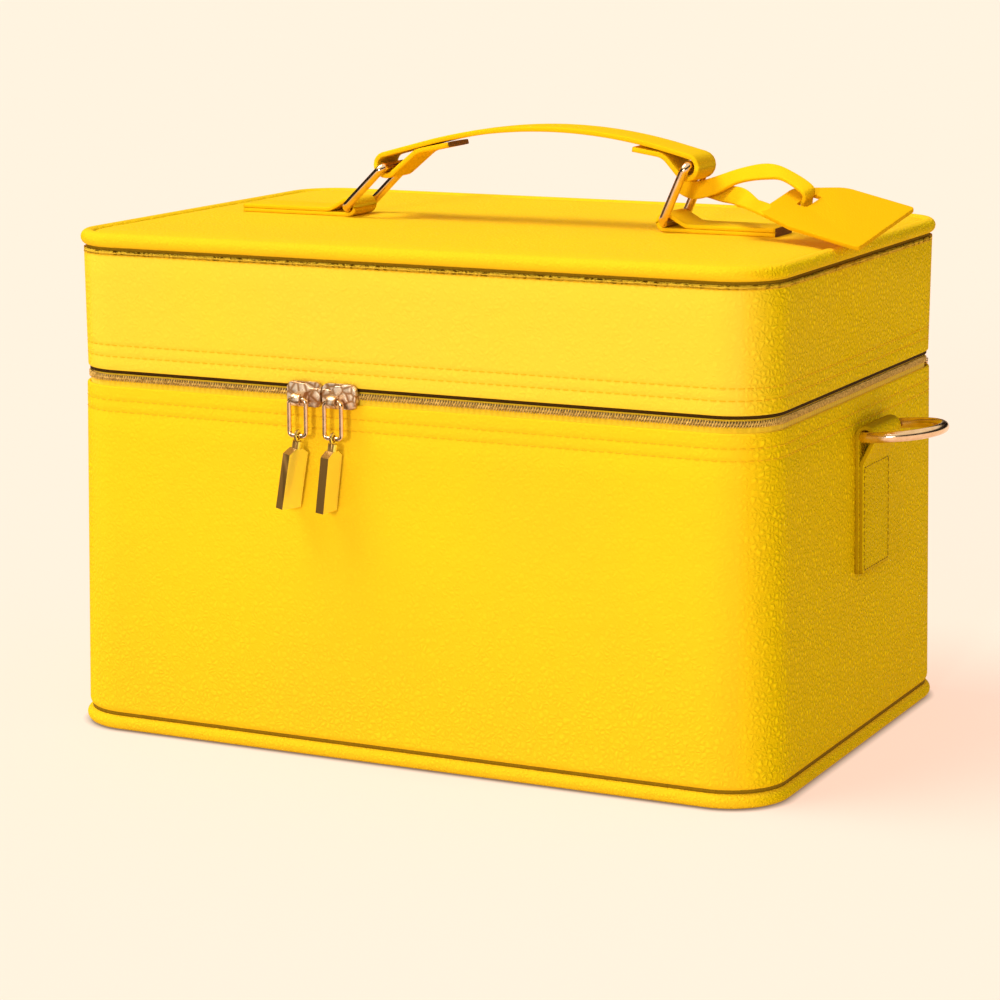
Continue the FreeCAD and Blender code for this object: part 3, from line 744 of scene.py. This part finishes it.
def back_hinge():
    """Leather gusset behind the zip's ends, in one fixed shape."""
    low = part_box("hinge_strip_lower")[0].z
    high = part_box("hinge_strip_upper")[1].z
    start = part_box("hinge_strip_lower")[0].y
    profile = []
    levels = spread(low, high, 1.2 * MM) + [high]
    for level in levels:
        profile.append((body_out(rim) - tape_depth - clear, level))
    for level in reversed(levels):
        profile.append((body_out(rim) - tape_back + clear, level))
    walk = open_walk(lambda place: place.y > start)
    piece = sweep("hinge_gusset", walk, profile, strap_yellow, False)
    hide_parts("hinge_strip_lower", "hinge_strip_upper")
    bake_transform(piece)


for number, row in enumerate(rim_rows):
    seam("body_seam_" + str(number + 1), "case", body_out, rim - row)
    seam("lid_seam_" + str(number + 1), "lid", lid_out, lid_edge + row)
seam("lid_seam_top", "lid", lid_out, lid_wall_top - top_row)
coil_half = 1.35 * MM           # height of the joined coils above and below the middle
teeth_reach = 0.5 * MM          # teeth of one row past the middle, between those of the other
tape_gap = 0.9 * MM             # tapes' edges from the middle
edge_drop = 1.25 * MM           # reach of the painted shadow band under the lid's edge
zip_row("zip_coil_lower", "zip_teeth_lower", "case", body_out,
        zip_middle - coil_half, zip_middle + teeth_reach, 0)
zip_row("zip_coil_upper", "zip_teeth_upper", "lid", body_out,
        zip_middle - teeth_reach, zip_middle + coil_half, 0.5)
tape("zip_tape_body", "zip_tape_lower", "case", body_out,
     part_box("zip_tape_lower")[0].z, zip_middle - tape_gap)
tape("zip_tape_lid", "zip_tape_upper", "lid", lid_out,
     zip_middle + tape_gap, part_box("zip_tape_upper")[1].z)
# Painted shadow under the lid's edge, in the zip's gap.
dark_band("lid_edge_shade_band", "lid", lid_out, lid_edge - edge_drop, lid_edge + leather / 2,
          leather / 2, edge_shade)
back_hinge()


# Straps: handle, tabs and the luggage tag

def joint_place(name):
    """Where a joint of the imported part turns."""
    return Vector(next(joint["pos_m"] for joint in frame["joints"] if joint["name"] == name))


strap_leather = 1.6 * MM
handle_leather = 2.0 * MM
wire_clearance = 0.35 * MM
ring_wire = 3.6 * MM
ring_length = 24.2 * MM
right_ring_lean = 23.6
handle_slack = 1.2 * MM
left_loop_lift = 0.8 * MM
right_loop_drop = 0.7 * MM
right_loop_shift = 0.9 * MM
arch_share = 0.84
handle_rise = 15.1
handle_fall = 14.0
left_return_slope = 40.0
right_return_slope = 48.0
left_return_end = 15.0 * MM
right_return_end = 13.0 * MM
left_return_dip = 3.0
right_return_dip = 5.5
left_seam_touch = 0.15 * MM
right_seam_touch = 0.5 * MM
left_pivot = joint_place("handle_swing")
right_pivot = joint_place("handle_right_ring")
left_bar = joint_place("handle_on_ring")


def along(angle):
    """Unit vector in the XZ plane at an angle above +X."""
    return Vector((math.cos(math.radians(angle)), 0, math.sin(math.radians(angle))))


def left_normal(heading):
    """Left-hand normal of a heading in the XZ plane."""
    return Vector((-heading.z, 0, heading.x))


def loop_corner(centre, radius, heading_in, heading_out):
    """Corner of a path that goes clockwise round a bar, tangent to a circle about it."""
    half_turn = math.radians(heading_in - heading_out) / 2
    between = math.radians(heading_in + heading_out) / 2
    return centre + Vector((-math.sin(between), 0, math.cos(between))) * (radius / math.cos(half_turn))


def meeting(point, way, other_point, other_way):
    """Where two lines in the XZ plane cross."""
    share = (other_point - point).cross(other_way).y / way.cross(other_way).y
    return point + way * share


def bent_path(points, radii, step=1.5 * MM):
    """Places along a path in the XZ plane with rounded corners, each with its heading."""
    path = []
    here = points[0]
    for index in range(1, len(points)):
        heading = (points[index] - points[index - 1]).normalized()
        if index == len(points) - 1:
            stop = points[index]
        else:
            after = (points[index + 1] - points[index]).normalized()
            turn = heading.angle(after)
            left = 1 if left_normal(heading).dot(after) > 0 else -1
            reach = radii[index - 1] * math.tan(turn / 2)
            stop = points[index] - heading * reach
        for distance in spread(0, (stop - here).length, 2 * step):
            path.append((here + heading * distance, heading))
        if index == len(points) - 1:
            path.append((stop, heading))
            continue
        centre = stop + left_normal(heading) * (left * radii[index - 1])
        for share in spread(0, 1, step / max(step, radii[index - 1] * turn) if turn > 0.3 else 0.05):
            spin = Matrix.Rotation(-left * turn * share, 3, "Y")
            path.append((centre + spin @ (stop - centre), spin @ heading))
        here = points[index] + after * reach
    return path


def strap_section(width, thickness, swell=0.0, steps=10):
    """Outline of a strap's cut, as (across, out) pairs, with rounded edges and a fuller middle."""
    half = thickness / 2
    corner = thickness * 0.28
    flat = width / 2 - corner
    points = []
    for side in (1, -1):
        for index in range(steps + 1):
            across = side * flat * (2 * index / steps - 1)
            points.append((across, side * (half + swell * (1 - (across / flat) ** 2))))
        for middle, angles in ((half - corner, (60, 30, 0)), (corner - half, (0, -30, -60))):
            for angle in angles:
                turn = math.radians(angle)
                across = flat + corner * math.cos(turn)
                points.append((side * across, side * (middle + corner * math.sin(turn))))
    return points


def strap_piece(name, stations, section, material, cut_material):
    """Strap through stations of (place, across, out), with cut faces at its two ends."""
    points = []
    for place, across, out in stations:
        for sideways, upward in section:
            points.append(place + across * sideways + out * upward)
    faces = tube_faces(len(stations), len(section))
    piece = mesh_piece(name, points, faces, material)
    piece.data.materials.append(cut_material)
    for face in piece.data.polygons[-2:]:
        face.material_index = 1
        face.use_smooth = False
    return piece


def flat_strap(name, path, width, thickness, middle_y, material=None):
    """Strap that follows a path in the XZ plane."""
    stations = [(place + BACK * middle_y, BACK, left_normal(heading)) for place, heading in path]
    section = strap_section(width, thickness, thickness * 0.06)
    return strap_piece(name, stations, section, material or strap_yellow, raw_edge)


def handle_path():
    """Path of the handle's strip over both rings, its ends turned under."""
    right_bar = right_pivot + along(90 - right_ring_lean) * ring_length
    radius = ring_wire / 2 + wire_clearance + handle_slack + handle_leather / 2
    left_centre = left_bar + UP * left_loop_lift
    right_centre = right_bar - Vector((right_loop_shift, 0, right_loop_drop))
    rise = along(handle_rise)
    fall = along(-handle_fall)
    left_heading = 180 + left_return_slope
    right_heading = -180 - right_return_slope
    left_back = along(left_heading)
    right_back = along(right_heading)
    left_top = left_centre + left_normal(rise) * radius
    right_top = right_centre + left_normal(fall) * radius
    peak = meeting(left_top, rise, right_top, fall)
    left_under = left_top - left_normal(rise) * (handle_leather + left_seam_touch)
    right_under = right_top - left_normal(fall) * (handle_leather + right_seam_touch)
    left_join = meeting(left_under, rise, left_centre + left_normal(left_back) * radius, left_back)
    right_join = meeting(right_under, fall, right_centre + left_normal(right_back) * radius, right_back)
    points = [
        left_join + along(handle_rise - left_return_dip) * left_return_end,
        left_join,
        loop_corner(left_centre, radius, left_heading, 90),
        loop_corner(left_centre, radius, 90, handle_rise),
        peak,
        loop_corner(right_centre, radius, -handle_fall, -90),
        loop_corner(right_centre, radius, -90, right_heading),
        right_join,
        right_join + along(180 - handle_fall + right_return_dip) * right_return_end,
    ]
    bend = 4 * handle_leather
    reach = min((peak - left_top).length, (peak - right_top).length) * arch_share
    arch = reach / math.tan(math.radians(handle_rise + handle_fall) / 2)
    radii = [bend, radius, radius, arch, radius, radius, bend]
    return bent_path(points, radii)


def tab_path(pivot, outward, tab_length):
    """Path of a lid tab: out from its sewn end, round the ring's bar and back over itself."""
    radius = ring_wire / 2 + wire_clearance + strap_leather / 2
    low = lid_top + clear + strap_leather / 2
    upper = low + strap_leather + clear
    crown = pivot.z + radius
    corners = [(-tab_length, low), (radius, low), (radius, crown), (-radius / 2, crown),
               (-3 * radius, upper), (-tab_length, upper)]
    radii = [radius, radius, 2 * strap_leather, 4 * strap_leather]
    points = [Vector((pivot.x - outward * x, 0, z)) for x, z in corners]
    return bent_path(points, radii)


def handle_straps():
    """Handle and the two tabs that hold its rings."""
    low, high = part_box("handle_strap")
    handle = flat_strap("handle_leather", handle_path(), high.y - low.y, handle_leather, 0)
    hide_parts("handle_strap")
    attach(handle, "handle")
    for side, pivot, outward in (("left", left_pivot, -1), ("right", right_pivot, 1)):
        node = "handle_tab_" + side
        low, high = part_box(node)
        tab_length = pivot.x - low.x if outward < 0 else high.x - pivot.x
        path = tab_path(pivot, outward, tab_length)
        tab = flat_strap("lid_tab_" + side, path, high.y - low.y, strap_leather, 0)
        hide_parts(node)
        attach(tab, "lid")


handle_straps()


# Side tabs

side_tab_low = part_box("side_tab_right")[0].z
side_pivot = joint_place("side_ring_right_swing")
side_wire = 4.2 * MM
side_tab_open = 11.0 * MM
tab_seam = 1.3 * MM             # stitching inside the tab's edges


def side_tab_path(side):
    """Path of a side tab: up the wall, over the ring's bar and down over itself."""
    radius = side_wire / 2 + wire_clearance + strap_leather / 2
    inner = clear + strap_leather / 2
    outer = inner + strap_leather + clear
    meet = side_pivot.z - side_tab_open
    crown = side_pivot.z + radius
    nose = side_pivot.x + radius
    foot_wall, crown_wall, meet_wall = [half_x + body_out(z) for z in (side_tab_low, crown, meet)]
    corners = [(foot_wall + inner, side_tab_low), (crown_wall + inner, crown), (nose, crown),
               (nose, side_pivot.z - radius / 2), (meet_wall + outer, meet),
               (foot_wall + outer, side_tab_low)]
    fold = radius - clear
    radii = [fold, fold, 2 * strap_leather, 4 * strap_leather]
    return bent_path([Vector((side * x, 0, z)) for x, z in corners], radii)


def tab_stitches(name, side, width, middle_y):
    """Border stitching on a side tab's outer face."""
    thread_out = 0.12 * MM
    finer = 0.8                 # size of these stitches against the seams' ones
    pitch = stitch_pitch * finer
    face = half_x + 2 * strap_leather + 2 * clear + thread_out
    low = side_tab_low + tab_seam
    high = side_pivot.z - side_tab_open - tab_seam
    half = width / 2 - tab_seam
    corners = [(-half, high), (-half, low), (half, low), (half, high), (-half, high)]
    beads = []
    for (y0, z0), (y1, z1) in zip(corners, corners[1:]):
        start = Vector((0, y0, z0))
        finish = Vector((0, y1, z1))
        run = (finish - start).normalized()
        for distance in spread(0, (finish - start).length, pitch):
            place = start + run * (distance + pitch / 2)
            x = side * (face + body_out(place.z))
            middle = Vector((x, middle_y + place.y, place.z))
            beads.append((middle, run, RIGHT * side, stitch_length * finer, thread, thread * 0.6))
    piece = bead_mesh(name, beads, tab_yarn)
    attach(piece, "case")


def side_tabs():
    """Leather tabs that hold the side rings."""
    low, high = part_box("side_tab_right")
    middle_y = (low.y + high.y) / 2
    width = high.y - low.y
    for name, side in (("left", -1), ("right", 1)):
        path = side_tab_path(side)
        tab = flat_strap("side_strap_" + name, path, width, strap_leather, middle_y, tab_yellow)
        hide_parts("side_tab_" + name)
        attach(tab, "case")
        tab_stitches("side_strap_seam_" + name, side, width, middle_y)


# Luggage tag

tag_length = 47.5 * MM
tag_width = 38.4 * MM
tag_thickness = 1.8 * MM
tag_point = 16.5 * MM
tag_tip_rear = 8.0 * MM
tag_corner = 1.6 * MM
tag_shoulder_round = 12.0 * MM
tag_tip_round = 5.0 * MM
slot_from_tip = 11.0 * MM
slot_offset = 2.4 * MM
slot_length = 10.4 * MM
slot_width = 4.6 * MM
tag_reach = 59.0 * MM
tag_forward = 12.2 * MM
tag_rise = 13.4 * MM
tag_turn = Euler((math.radians(18.4), math.radians(11.0), math.radians(-12.2))).to_matrix()
tag_strap_width = 6.8 * MM
neck_offset = 11.8 * MM
slot_clearance = 0.4 * MM
strap_lift = 10.0 * MM
neck_lift = 1.8 * MM
tag_middle = Vector((right_pivot.x + tag_reach, -tag_forward, lid_top + tag_rise))
wrap_middle = joint_place("tag_strap_turn")


def on_tag(x, y, z):
    """A point of the tag, given along it from the slot, across it from its middle and above it."""
    return tag_middle + tag_turn @ Vector((x, y, z))


def cut_outline(name, loops, thickness, edge, material):
    """Flat plate cut to an outline, with holes and rounded edges, lying about z 0."""
    curve = bpy.data.curves.new(name, "CURVE")
    curve.dimensions = "2D"
    curve.fill_mode = "BOTH"
    curve.extrude = thickness / 2 - edge
    curve.bevel_depth = edge
    curve.bevel_resolution = 3
    curve.offset = -edge
    for loop in loops:
        spline = curve.splines.new("POLY")
        spline.points.add(len(loop) - 1)
        for point, (x, y) in zip(spline.points, loop):
            point.co = (x, y, 0, 1)
        spline.use_cyclic_u = True
    drawn = link_object(name + "_outline", curve)
    bpy.context.view_layer.update()
    mesh = bpy.data.meshes.new_from_object(drawn)
    bpy.data.objects.remove(drawn)
    mesh.materials.clear()
    mesh.materials.append(material)
    reworked(mesh, lambda shell: bmesh.ops.remove_doubles(shell, verts=shell.verts, dist=edge / 50))
    piece = smooth(link_object(name, mesh))
    mesh.set_sharp_from_angle(angle=math.radians(40))
    return piece


def rounded_corners(corners, radii, steps=6):
    """Closed outline through corners, each one rounded to its own radius."""
    points = []
    count = len(corners)
    for index in range(count):
        corner = Vector(corners[index])
        radius = radii[index]
        before = (corner - Vector(corners[index - 1])).normalized()
        after = (Vector(corners[(index + 1) % count]) - corner).normalized()
        turn = before.angle(after)
        start = corner - before * (radius * math.tan(turn / 2))
        inward = (after - before).normalized()
        centre = corner + inward * (radius / math.cos(turn / 2))
        spoke = start - centre
        side = 1 if before.cross(after) > 0 else -1
        for step in range(steps + 1):
            angle = side * turn * step / steps
            points.append((centre.x + spoke.x * math.cos(angle) - spoke.y * math.sin(angle),
                           centre.y + spoke.x * math.sin(angle) + spoke.y * math.cos(angle)))
    return points


def luggage_tag():
    """Leather tag with its narrowing end and slot."""
    tip = -slot_from_tip
    end = tip + tag_length
    shoulder = tip + tag_point
    half = tag_width / 2
    tip_front = neck_offset + tag_strap_width / 2
    corners = [(tip, -tip_front), (shoulder, -half), (end, -half), (end, half), (shoulder, half),
               (tip, tag_tip_rear)]
    outer = rounded_corners(corners, [tag_corner] * 4 + [tag_shoulder_round, tag_tip_round])
    reach = slot_width / 2
    wide = slot_length / 2
    hole = [(-reach, slot_offset - wide), (reach, slot_offset - wide), (reach, slot_offset + wide),
            (-reach, slot_offset + wide)]
    slot_loop = rounded_corners(hole, [reach / 2] * 4)
    edge = tag_thickness * 0.22
    piece = cut_outline("tag_leather", [outer, slot_loop], tag_thickness, edge, tag_yellow)
    piece.data.transform(Matrix.Translation(tag_middle) @ tag_turn.to_4x4())
    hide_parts("luggage_tag")
    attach(piece, "luggage_tag")


def smooth_through(stations, pieces=8):
    """Smooth line through (place, width way) stations."""
    found = []
    for index in range(len(stations) - 1):
        around = [stations[min(max(index + k, 0), len(stations) - 1)] for k in (-1, 0, 1, 2)]
        for step in range(pieces):
            t = step / pieces
            weights = (-0.5 * t + t * t - 0.5 * t ** 3, 1 - 2.5 * t * t + 1.5 * t ** 3,
                       0.5 * t + 2 * t * t - 1.5 * t ** 3, -0.5 * t * t + 0.5 * t ** 3)
            place = sum((around[k][0] * weights[k] for k in range(4)), Vector())
            way = sum((around[k][1] * weights[k] for k in range(4)), Vector())
            found.append((place, way))
    found.append(stations[-1])
    return found


def ribbon(name, stations, widths):
    """Leather strip through stations; widths are its width at the first and the last of them."""
    line = smooth_through(stations)
    placed = []
    for index, (place, width_way) in enumerate(line):
        heading = (line[min(index + 1, len(line) - 1)][0] - line[max(index - 1, 0)][0]).normalized()
        side = (width_way - heading * width_way.dot(heading)).normalized()
        share = index / (len(line) - 1)
        width = widths[0] + (widths[1] - widths[0]) * share ** 3
        placed.append((place, side * (width / tag_strap_width), heading.cross(side)))
    section = strap_section(tag_strap_width, strap_leather, strap_leather * 0.08, 6)
    piece = strap_piece(name, placed, section, strap_yellow, raw_edge)
    return piece


leg_way = along(90 - right_ring_lean)
leg_beside = ring_wire / 2 + wire_clearance + strap_leather
flat_way = tag_turn @ BACK
half_twist = (UP + flat_way).normalized()


def strap_upper_arm():
    """Loose turn round the ring's leg, then over in an arch and down through the tag's slot."""
    near = wrap_middle - BACK * leg_beside
    far = wrap_middle + BACK * leg_beside
    behind = wrap_middle - along(-right_ring_lean) * (2 * leg_beside)
    span = on_tag(0, slot_offset, 0) - near
    hug = slot_clearance + strap_leather / 2 - slot_width / 2
    stations = [
        (far, leg_way),
        (behind + BACK * (leg_beside * 0.6), leg_way),
        (behind - BACK * (leg_beside * 0.6), leg_way),
        (near, leg_way),
        (near + span * 0.18 + UP * (strap_lift * 0.24), leg_way),
        (near + span * 0.41 + UP * (strap_lift * 0.74), half_twist),
        (near + span * 0.635 + UP * strap_lift, half_twist),
        (near + span * 0.815 + UP * (strap_lift * 0.9), flat_way),
        (on_tag(hug + slot_clearance, slot_offset, tag_strap_width * 0.7), flat_way),
        (on_tag(hug, slot_offset, 0), flat_way),
        (on_tag(hug - slot_clearance, slot_offset, -2 * tag_thickness), flat_way),
    ]
    piece = ribbon("tag_strap_arch", stations, (tag_strap_width, tag_strap_width))
    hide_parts("tag_strap_upper", "tag_strap_wrap")
    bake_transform(piece)


def strap_lower_arm():
    """Neck of the tag, from behind the ring's leg to where it widens into the tag's tip."""
    far = wrap_middle + BACK * leg_beside
    tip = -slot_from_tip
    sunk = 0.3 * MM
    touch = on_tag(tip, -neck_offset, sunk / 2)
    span = touch - far
    stations = [
        (far - RIGHT * leg_beside, leg_way),
        (far, leg_way),
        (far + RIGHT * leg_beside, leg_way),
        (far + span * 0.34 + Vector((0, leg_beside, neck_lift * 0.2)), half_twist),
        (far + span * 0.62 + UP * neck_lift, half_twist),
        (on_tag(tip - tag_strap_width, -neck_offset, strap_leather / 2), flat_way),
        (touch, flat_way),
        (on_tag(tip + tag_strap_width, -neck_offset, -sunk), flat_way),
    ]
    piece = ribbon("tag_strap_neck", stations, (tag_strap_width, tag_strap_width * 1.3))
    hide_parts("tag_strap_lower")
    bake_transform(piece)


side_tabs()
luggage_tag()
strap_upper_arm()
strap_lower_arm()


# Metal and zip pulls

def dress(node, material, rounding=0.0):
    """Gives a CAD node its finish and, where wanted, softened edges."""
    piece = nodes[node]
    piece.data.materials.clear()
    piece.data.materials.append(material)
    if rounding:
        weld = piece.modifiers.new("weld", "WELD")
        weld.merge_threshold = 0.005 * MM
        soften = piece.modifiers.new("soften", "BEVEL")
        soften.width = rounding
        soften.segments = 3
        soften.limit_method = "ANGLE"
        soften.angle_limit = math.radians(35)
        soften.harden_normals = True


pull_reach = 7.0 * MM           # pivot of the pull in front of the wall
plate_depth = 1.9 * MM          # middle of a slider's cap in front of the wall
cap_thickness = 1.1 * MM
cap_edge = 0.4 * MM
cap_corner = 0.5 * MM
metal_edge = 0.3 * MM
stop_depth = 0.5 * MM           # a stop's face behind the wall's face


def slider_cap(side):
    """Raised butterfly plate on the front of a zip slider."""
    low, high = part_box("slider_" + side)
    outer = -1 if side == "left" else 1
    middle = (low + high) / 2
    reach = (high.x - low.x) / 2
    tall = (high.z - low.z) / 2
    shape = [(-1.0, -0.55), (-0.45, -0.5), (-0.2, -0.85), (0.75, -1.0), (1.0, -0.6),
             (1.0, 0.6), (0.75, 1.0), (-0.2, 0.85), (-0.45, 0.5), (-1.0, 0.55)]
    loop = [(outer * x * reach, z * tall) for x, z in shape]
    if outer < 0:
        loop.reverse()
    outline = rounded_corners(loop, [cap_corner] * len(loop), 3)
    piece = cut_outline("slider_cap_" + side, [outline], cap_thickness, cap_edge, chased_gold)
    front = joint_place("pull_link_" + side + "_swing").y + pull_reach - plate_depth
    upright = Matrix.Rotation(math.pi / 2, 4, "X")
    piece.data.transform(Matrix.Translation((middle.x, front, middle.z)) @ upright)
    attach(piece, "slider_" + side)


def gold_parts():
    """Rings, links, sliders and pulls in plated metal."""
    for side in ("left", "right"):
        for node in ("handle_ring_", "side_ring_", "pull_link_"):
            dress(node + side, gold)
        dress("slider_" + side, chased_gold, metal_edge)
        dress("pull_tag_" + side, pull_gold, metal_edge)
        slider_cap(side)


def end_stops():
    """Small plates pressed over the zip's two ends, between the leather edges."""
    low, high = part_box("zip_end_stops")
    points = []
    faces = []
    for side in (-1, 1):
        start = len(points)
        for depth in (tape_back, stop_depth):
            for y, z in ((low.y, low.z), (high.y, low.z), (high.y, high.z), (low.y, high.z)):
                turned = max(0, y - half_y + corner_radius)
                wall = half_x - corner_radius + math.sqrt(corner_radius ** 2 - turned ** 2)
                points.append(Vector((side * (wall + body_out(rim) - depth), y, z)))
        faces += tube_faces(2, 4, start)
    piece = mesh_piece("zip_stop_plates", points, faces, gold)
    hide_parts("zip_end_stops")
    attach(piece, "case")


# Inside

def padded_divider(node):
    """Padded cloth panel: full in the middle, pulled in along its edges."""
    low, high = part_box(node)
    middle = (low + high) / 2
    size = high - low
    thin = 0 if size.x < size.y else 1
    long = 1 - thin
    columns = 24
    rows = 14
    edge = 0.35
    points = []
    for side in (1, -1):
        for row in range(rows + 1):
            for column in range(columns + 1):
                u = 2 * column / columns - 1
                v = 2 * row / rows - 1
                full = ((1 - u ** 8) * (1 - v ** 8)) ** 0.5
                point = [0, 0, middle.z + v * size.z / 2]
                point[long] = middle[long] + u * size[long] / 2
                point[thin] = middle[thin] + side * size[thin] / 2 * (edge + (1 - edge) * full)
                points.append(Vector(point))
    wide = columns + 1
    sheet = (rows + 1) * wide
    front = grid_faces(rows + 1, wide, False, False)
    faces = front + [tuple(sheet + corner for corner in reversed(quad)) for quad in front]
    rim_loop = list(range(wide))
    rim_loop += [row * wide + columns for row in range(1, rows + 1)]
    rim_loop += [rows * wide + column for column in range(columns - 1, -1, -1)]
    rim_loop += [row * wide for row in range(rows - 1, 0, -1)]
    for index, here in enumerate(rim_loop):
        there = rim_loop[(index + 1) % len(rim_loop)]
        faces.append((here, there, sheet + there, sheet + here))
    piece = mesh_piece(node + "_pad", points, faces, lining_cloth)
    finer = piece.modifiers.new("finer", "SUBSURF")
    finer.levels = 1
    finer.render_levels = 1
    body = "case" if node == "long_divider" else node
    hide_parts(node)
    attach(piece, body)


gold_parts()
end_stops()
for divider in ("long_divider", "front_divider_left", "front_divider_right", "rear_divider"):
    padded_divider(divider)
for stiffener in ("lower_board", "lid_board", "base_board", "lid_top_board"):
    dress(stiffener, card)
for layer in ("lower_padding", "lid_padding"):
    dress(layer, foam)


# Floor, light and camera

pale = (1.0, 0.905, 0.745)      # colour of the surroundings in the picture
floor_reach = 40.0
floor_tint = (0.22, 0.26, 0.24)
floor_glow = (0.88, 0.577, 0.453)
floor_drop = 0.2 * MM           # how far the floor lies under the case
room_light = 0.5
room_white = (1.0, 0.97, 0.93)
lamp_white = (1.0, 0.98, 0.95)
mirrored_dark = (0.012, 0.008, 0.006)
card_black = (0.02, 0.013, 0.008)


def flat_sheet(name, low, high, material):
    """Level rectangle between two corners."""
    corners = [(low[0], low[1], 0), (high[0], low[1], 0), (high[0], high[1], 0), (low[0], high[1], 0)]
    mesh = bpy.data.meshes.new(name)
    mesh.from_pydata(corners, [], [(0, 1, 2, 3)])
    mesh.materials.append(material)
    return link_object(name, mesh)


def floor():
    """Wide pale floor that glows softly, but not under the case, so that the shadow stays light."""
    material, tree, shader = new_material("floor_paper")
    inner = (half_x - corner_radius, half_y - corner_radius, 0)
    aside = vector_step(tree, "ABSOLUTE", object_position(tree), {})["Vector"]
    past = vector_step(tree, "SUBTRACT", aside, {1: inner})["Vector"]
    outside = vector_step(tree, "MAXIMUM", past, {1: (0, 0, 0)})["Vector"]
    away = vector_step(tree, "LENGTH", outside, {})["Value"]
    # Painted contact shadow: the glow fades out over the last few millimetres round the case's outline.
    glow = grey_ramp(tree, away, corner_radius - 2 * MM, corner_radius + 3 * MM)
    fill(tree, shader, {"Base Color": (*floor_tint, 1), "Emission Color": (*floor_glow, 1),
                        "Emission Strength": glow, "Roughness": 1.0, "Specular IOR Level": 0.0})
    sheet = flat_sheet("floor", (-floor_reach, -floor_reach), (floor_reach, floor_reach), material)
    sheet.location.z = -floor_drop


def flag():
    """Dark card on the floor before the case, seen only in the metal."""
    material, tree, shader = new_material("card_black")
    fill(tree, shader, {"Base Color": (*card_black, 1), "Roughness": 1.0})
    card = flat_sheet("dark_card", (-0.9, -1.0), (0.1, -0.2), material)
    card.visible_camera = False
    card.visible_diffuse = False
    card.visible_shadow = False
    card.visible_transmission = False


def world():
    """Even soft light; the camera sees pale surroundings and the metal a dark band over the horizon."""
    sky = bpy.data.worlds.new("soft_room")
    bpy.context.scene.world = sky
    sky.use_nodes = True
    tree = sky.node_tree
    room = fill(tree, tree.nodes["Background"], {"Color": (*room_white, 1), "Strength": room_light})
    seen = add(tree, "Background", {"Color": (*pale, 1)})
    way = add(tree, "TexCoord", {}).outputs["Generated"]
    height = add(tree, "SeparateXYZ", {"Vector": way}).outputs["Z"]
    bands = [(0.02, pale), (0.08, mirrored_dark), (0.46, mirrored_dark), (0.6, pale)]
    mirrored = add(tree, "Background", {"Color": ramp(tree, height, bands)})
    ray = add(tree, "LightPath", {}).outputs
    light = room.outputs[0]
    for kind, other in (("Is Glossy Ray", mirrored), ("Is Camera Ray", seen)):
        light = add(tree, "MixShader", {0: ray[kind], 1: light, 2: other.outputs[0]}).outputs[0]
    fill(tree, tree.nodes["World Output"], {"Surface": light})


def sun(name, towards, strength, width):
    """Distant light; towards points from the object to it, and width is its size in degrees."""
    data = bpy.data.lights.new(name, "SUN")
    data.energy = strength
    data.angle = math.radians(width)
    data.color = lamp_white
    piece = link_object(name, data)
    piece.rotation_euler = Vector(towards).to_track_quat("Z", "Y").to_euler()


def camera():
    """Camera that sees the case as the photograph does."""
    place = Vector((0.5320, -1.1163, 0.3303))
    yaw = math.radians(-25.75)
    pitch = math.radians(-11.19)
    roll = math.radians(-0.13)
    level = Vector((math.sin(yaw), math.cos(yaw), 0))
    ahead = level * math.cos(pitch) + UP * math.sin(pitch)
    right = Vector((math.cos(yaw), -math.sin(yaw), 0))
    above = right.cross(ahead)
    turned_right = right * math.cos(roll) + above * math.sin(roll)
    turned_up = above * math.cos(roll) - right * math.sin(roll)
    data = bpy.data.cameras.new("camera")
    data.sensor_width = 36
    data.lens = 111.45
    piece = link_object("camera", data)
    axes = Matrix((turned_right, turned_up, -ahead)).transposed()
    piece.matrix_world = Matrix.Translation(place) @ axes.to_4x4()
    bpy.context.scene.camera = piece


floor()
world()
flag()
sun("key", (-0.40, -0.22, 0.89), strength=2.5, width=34)
sun("fill", (0.08, -0.97, 0.2), strength=1.3, width=8)
camera()
bpy.context.scene.view_settings.view_transform = "Standard"
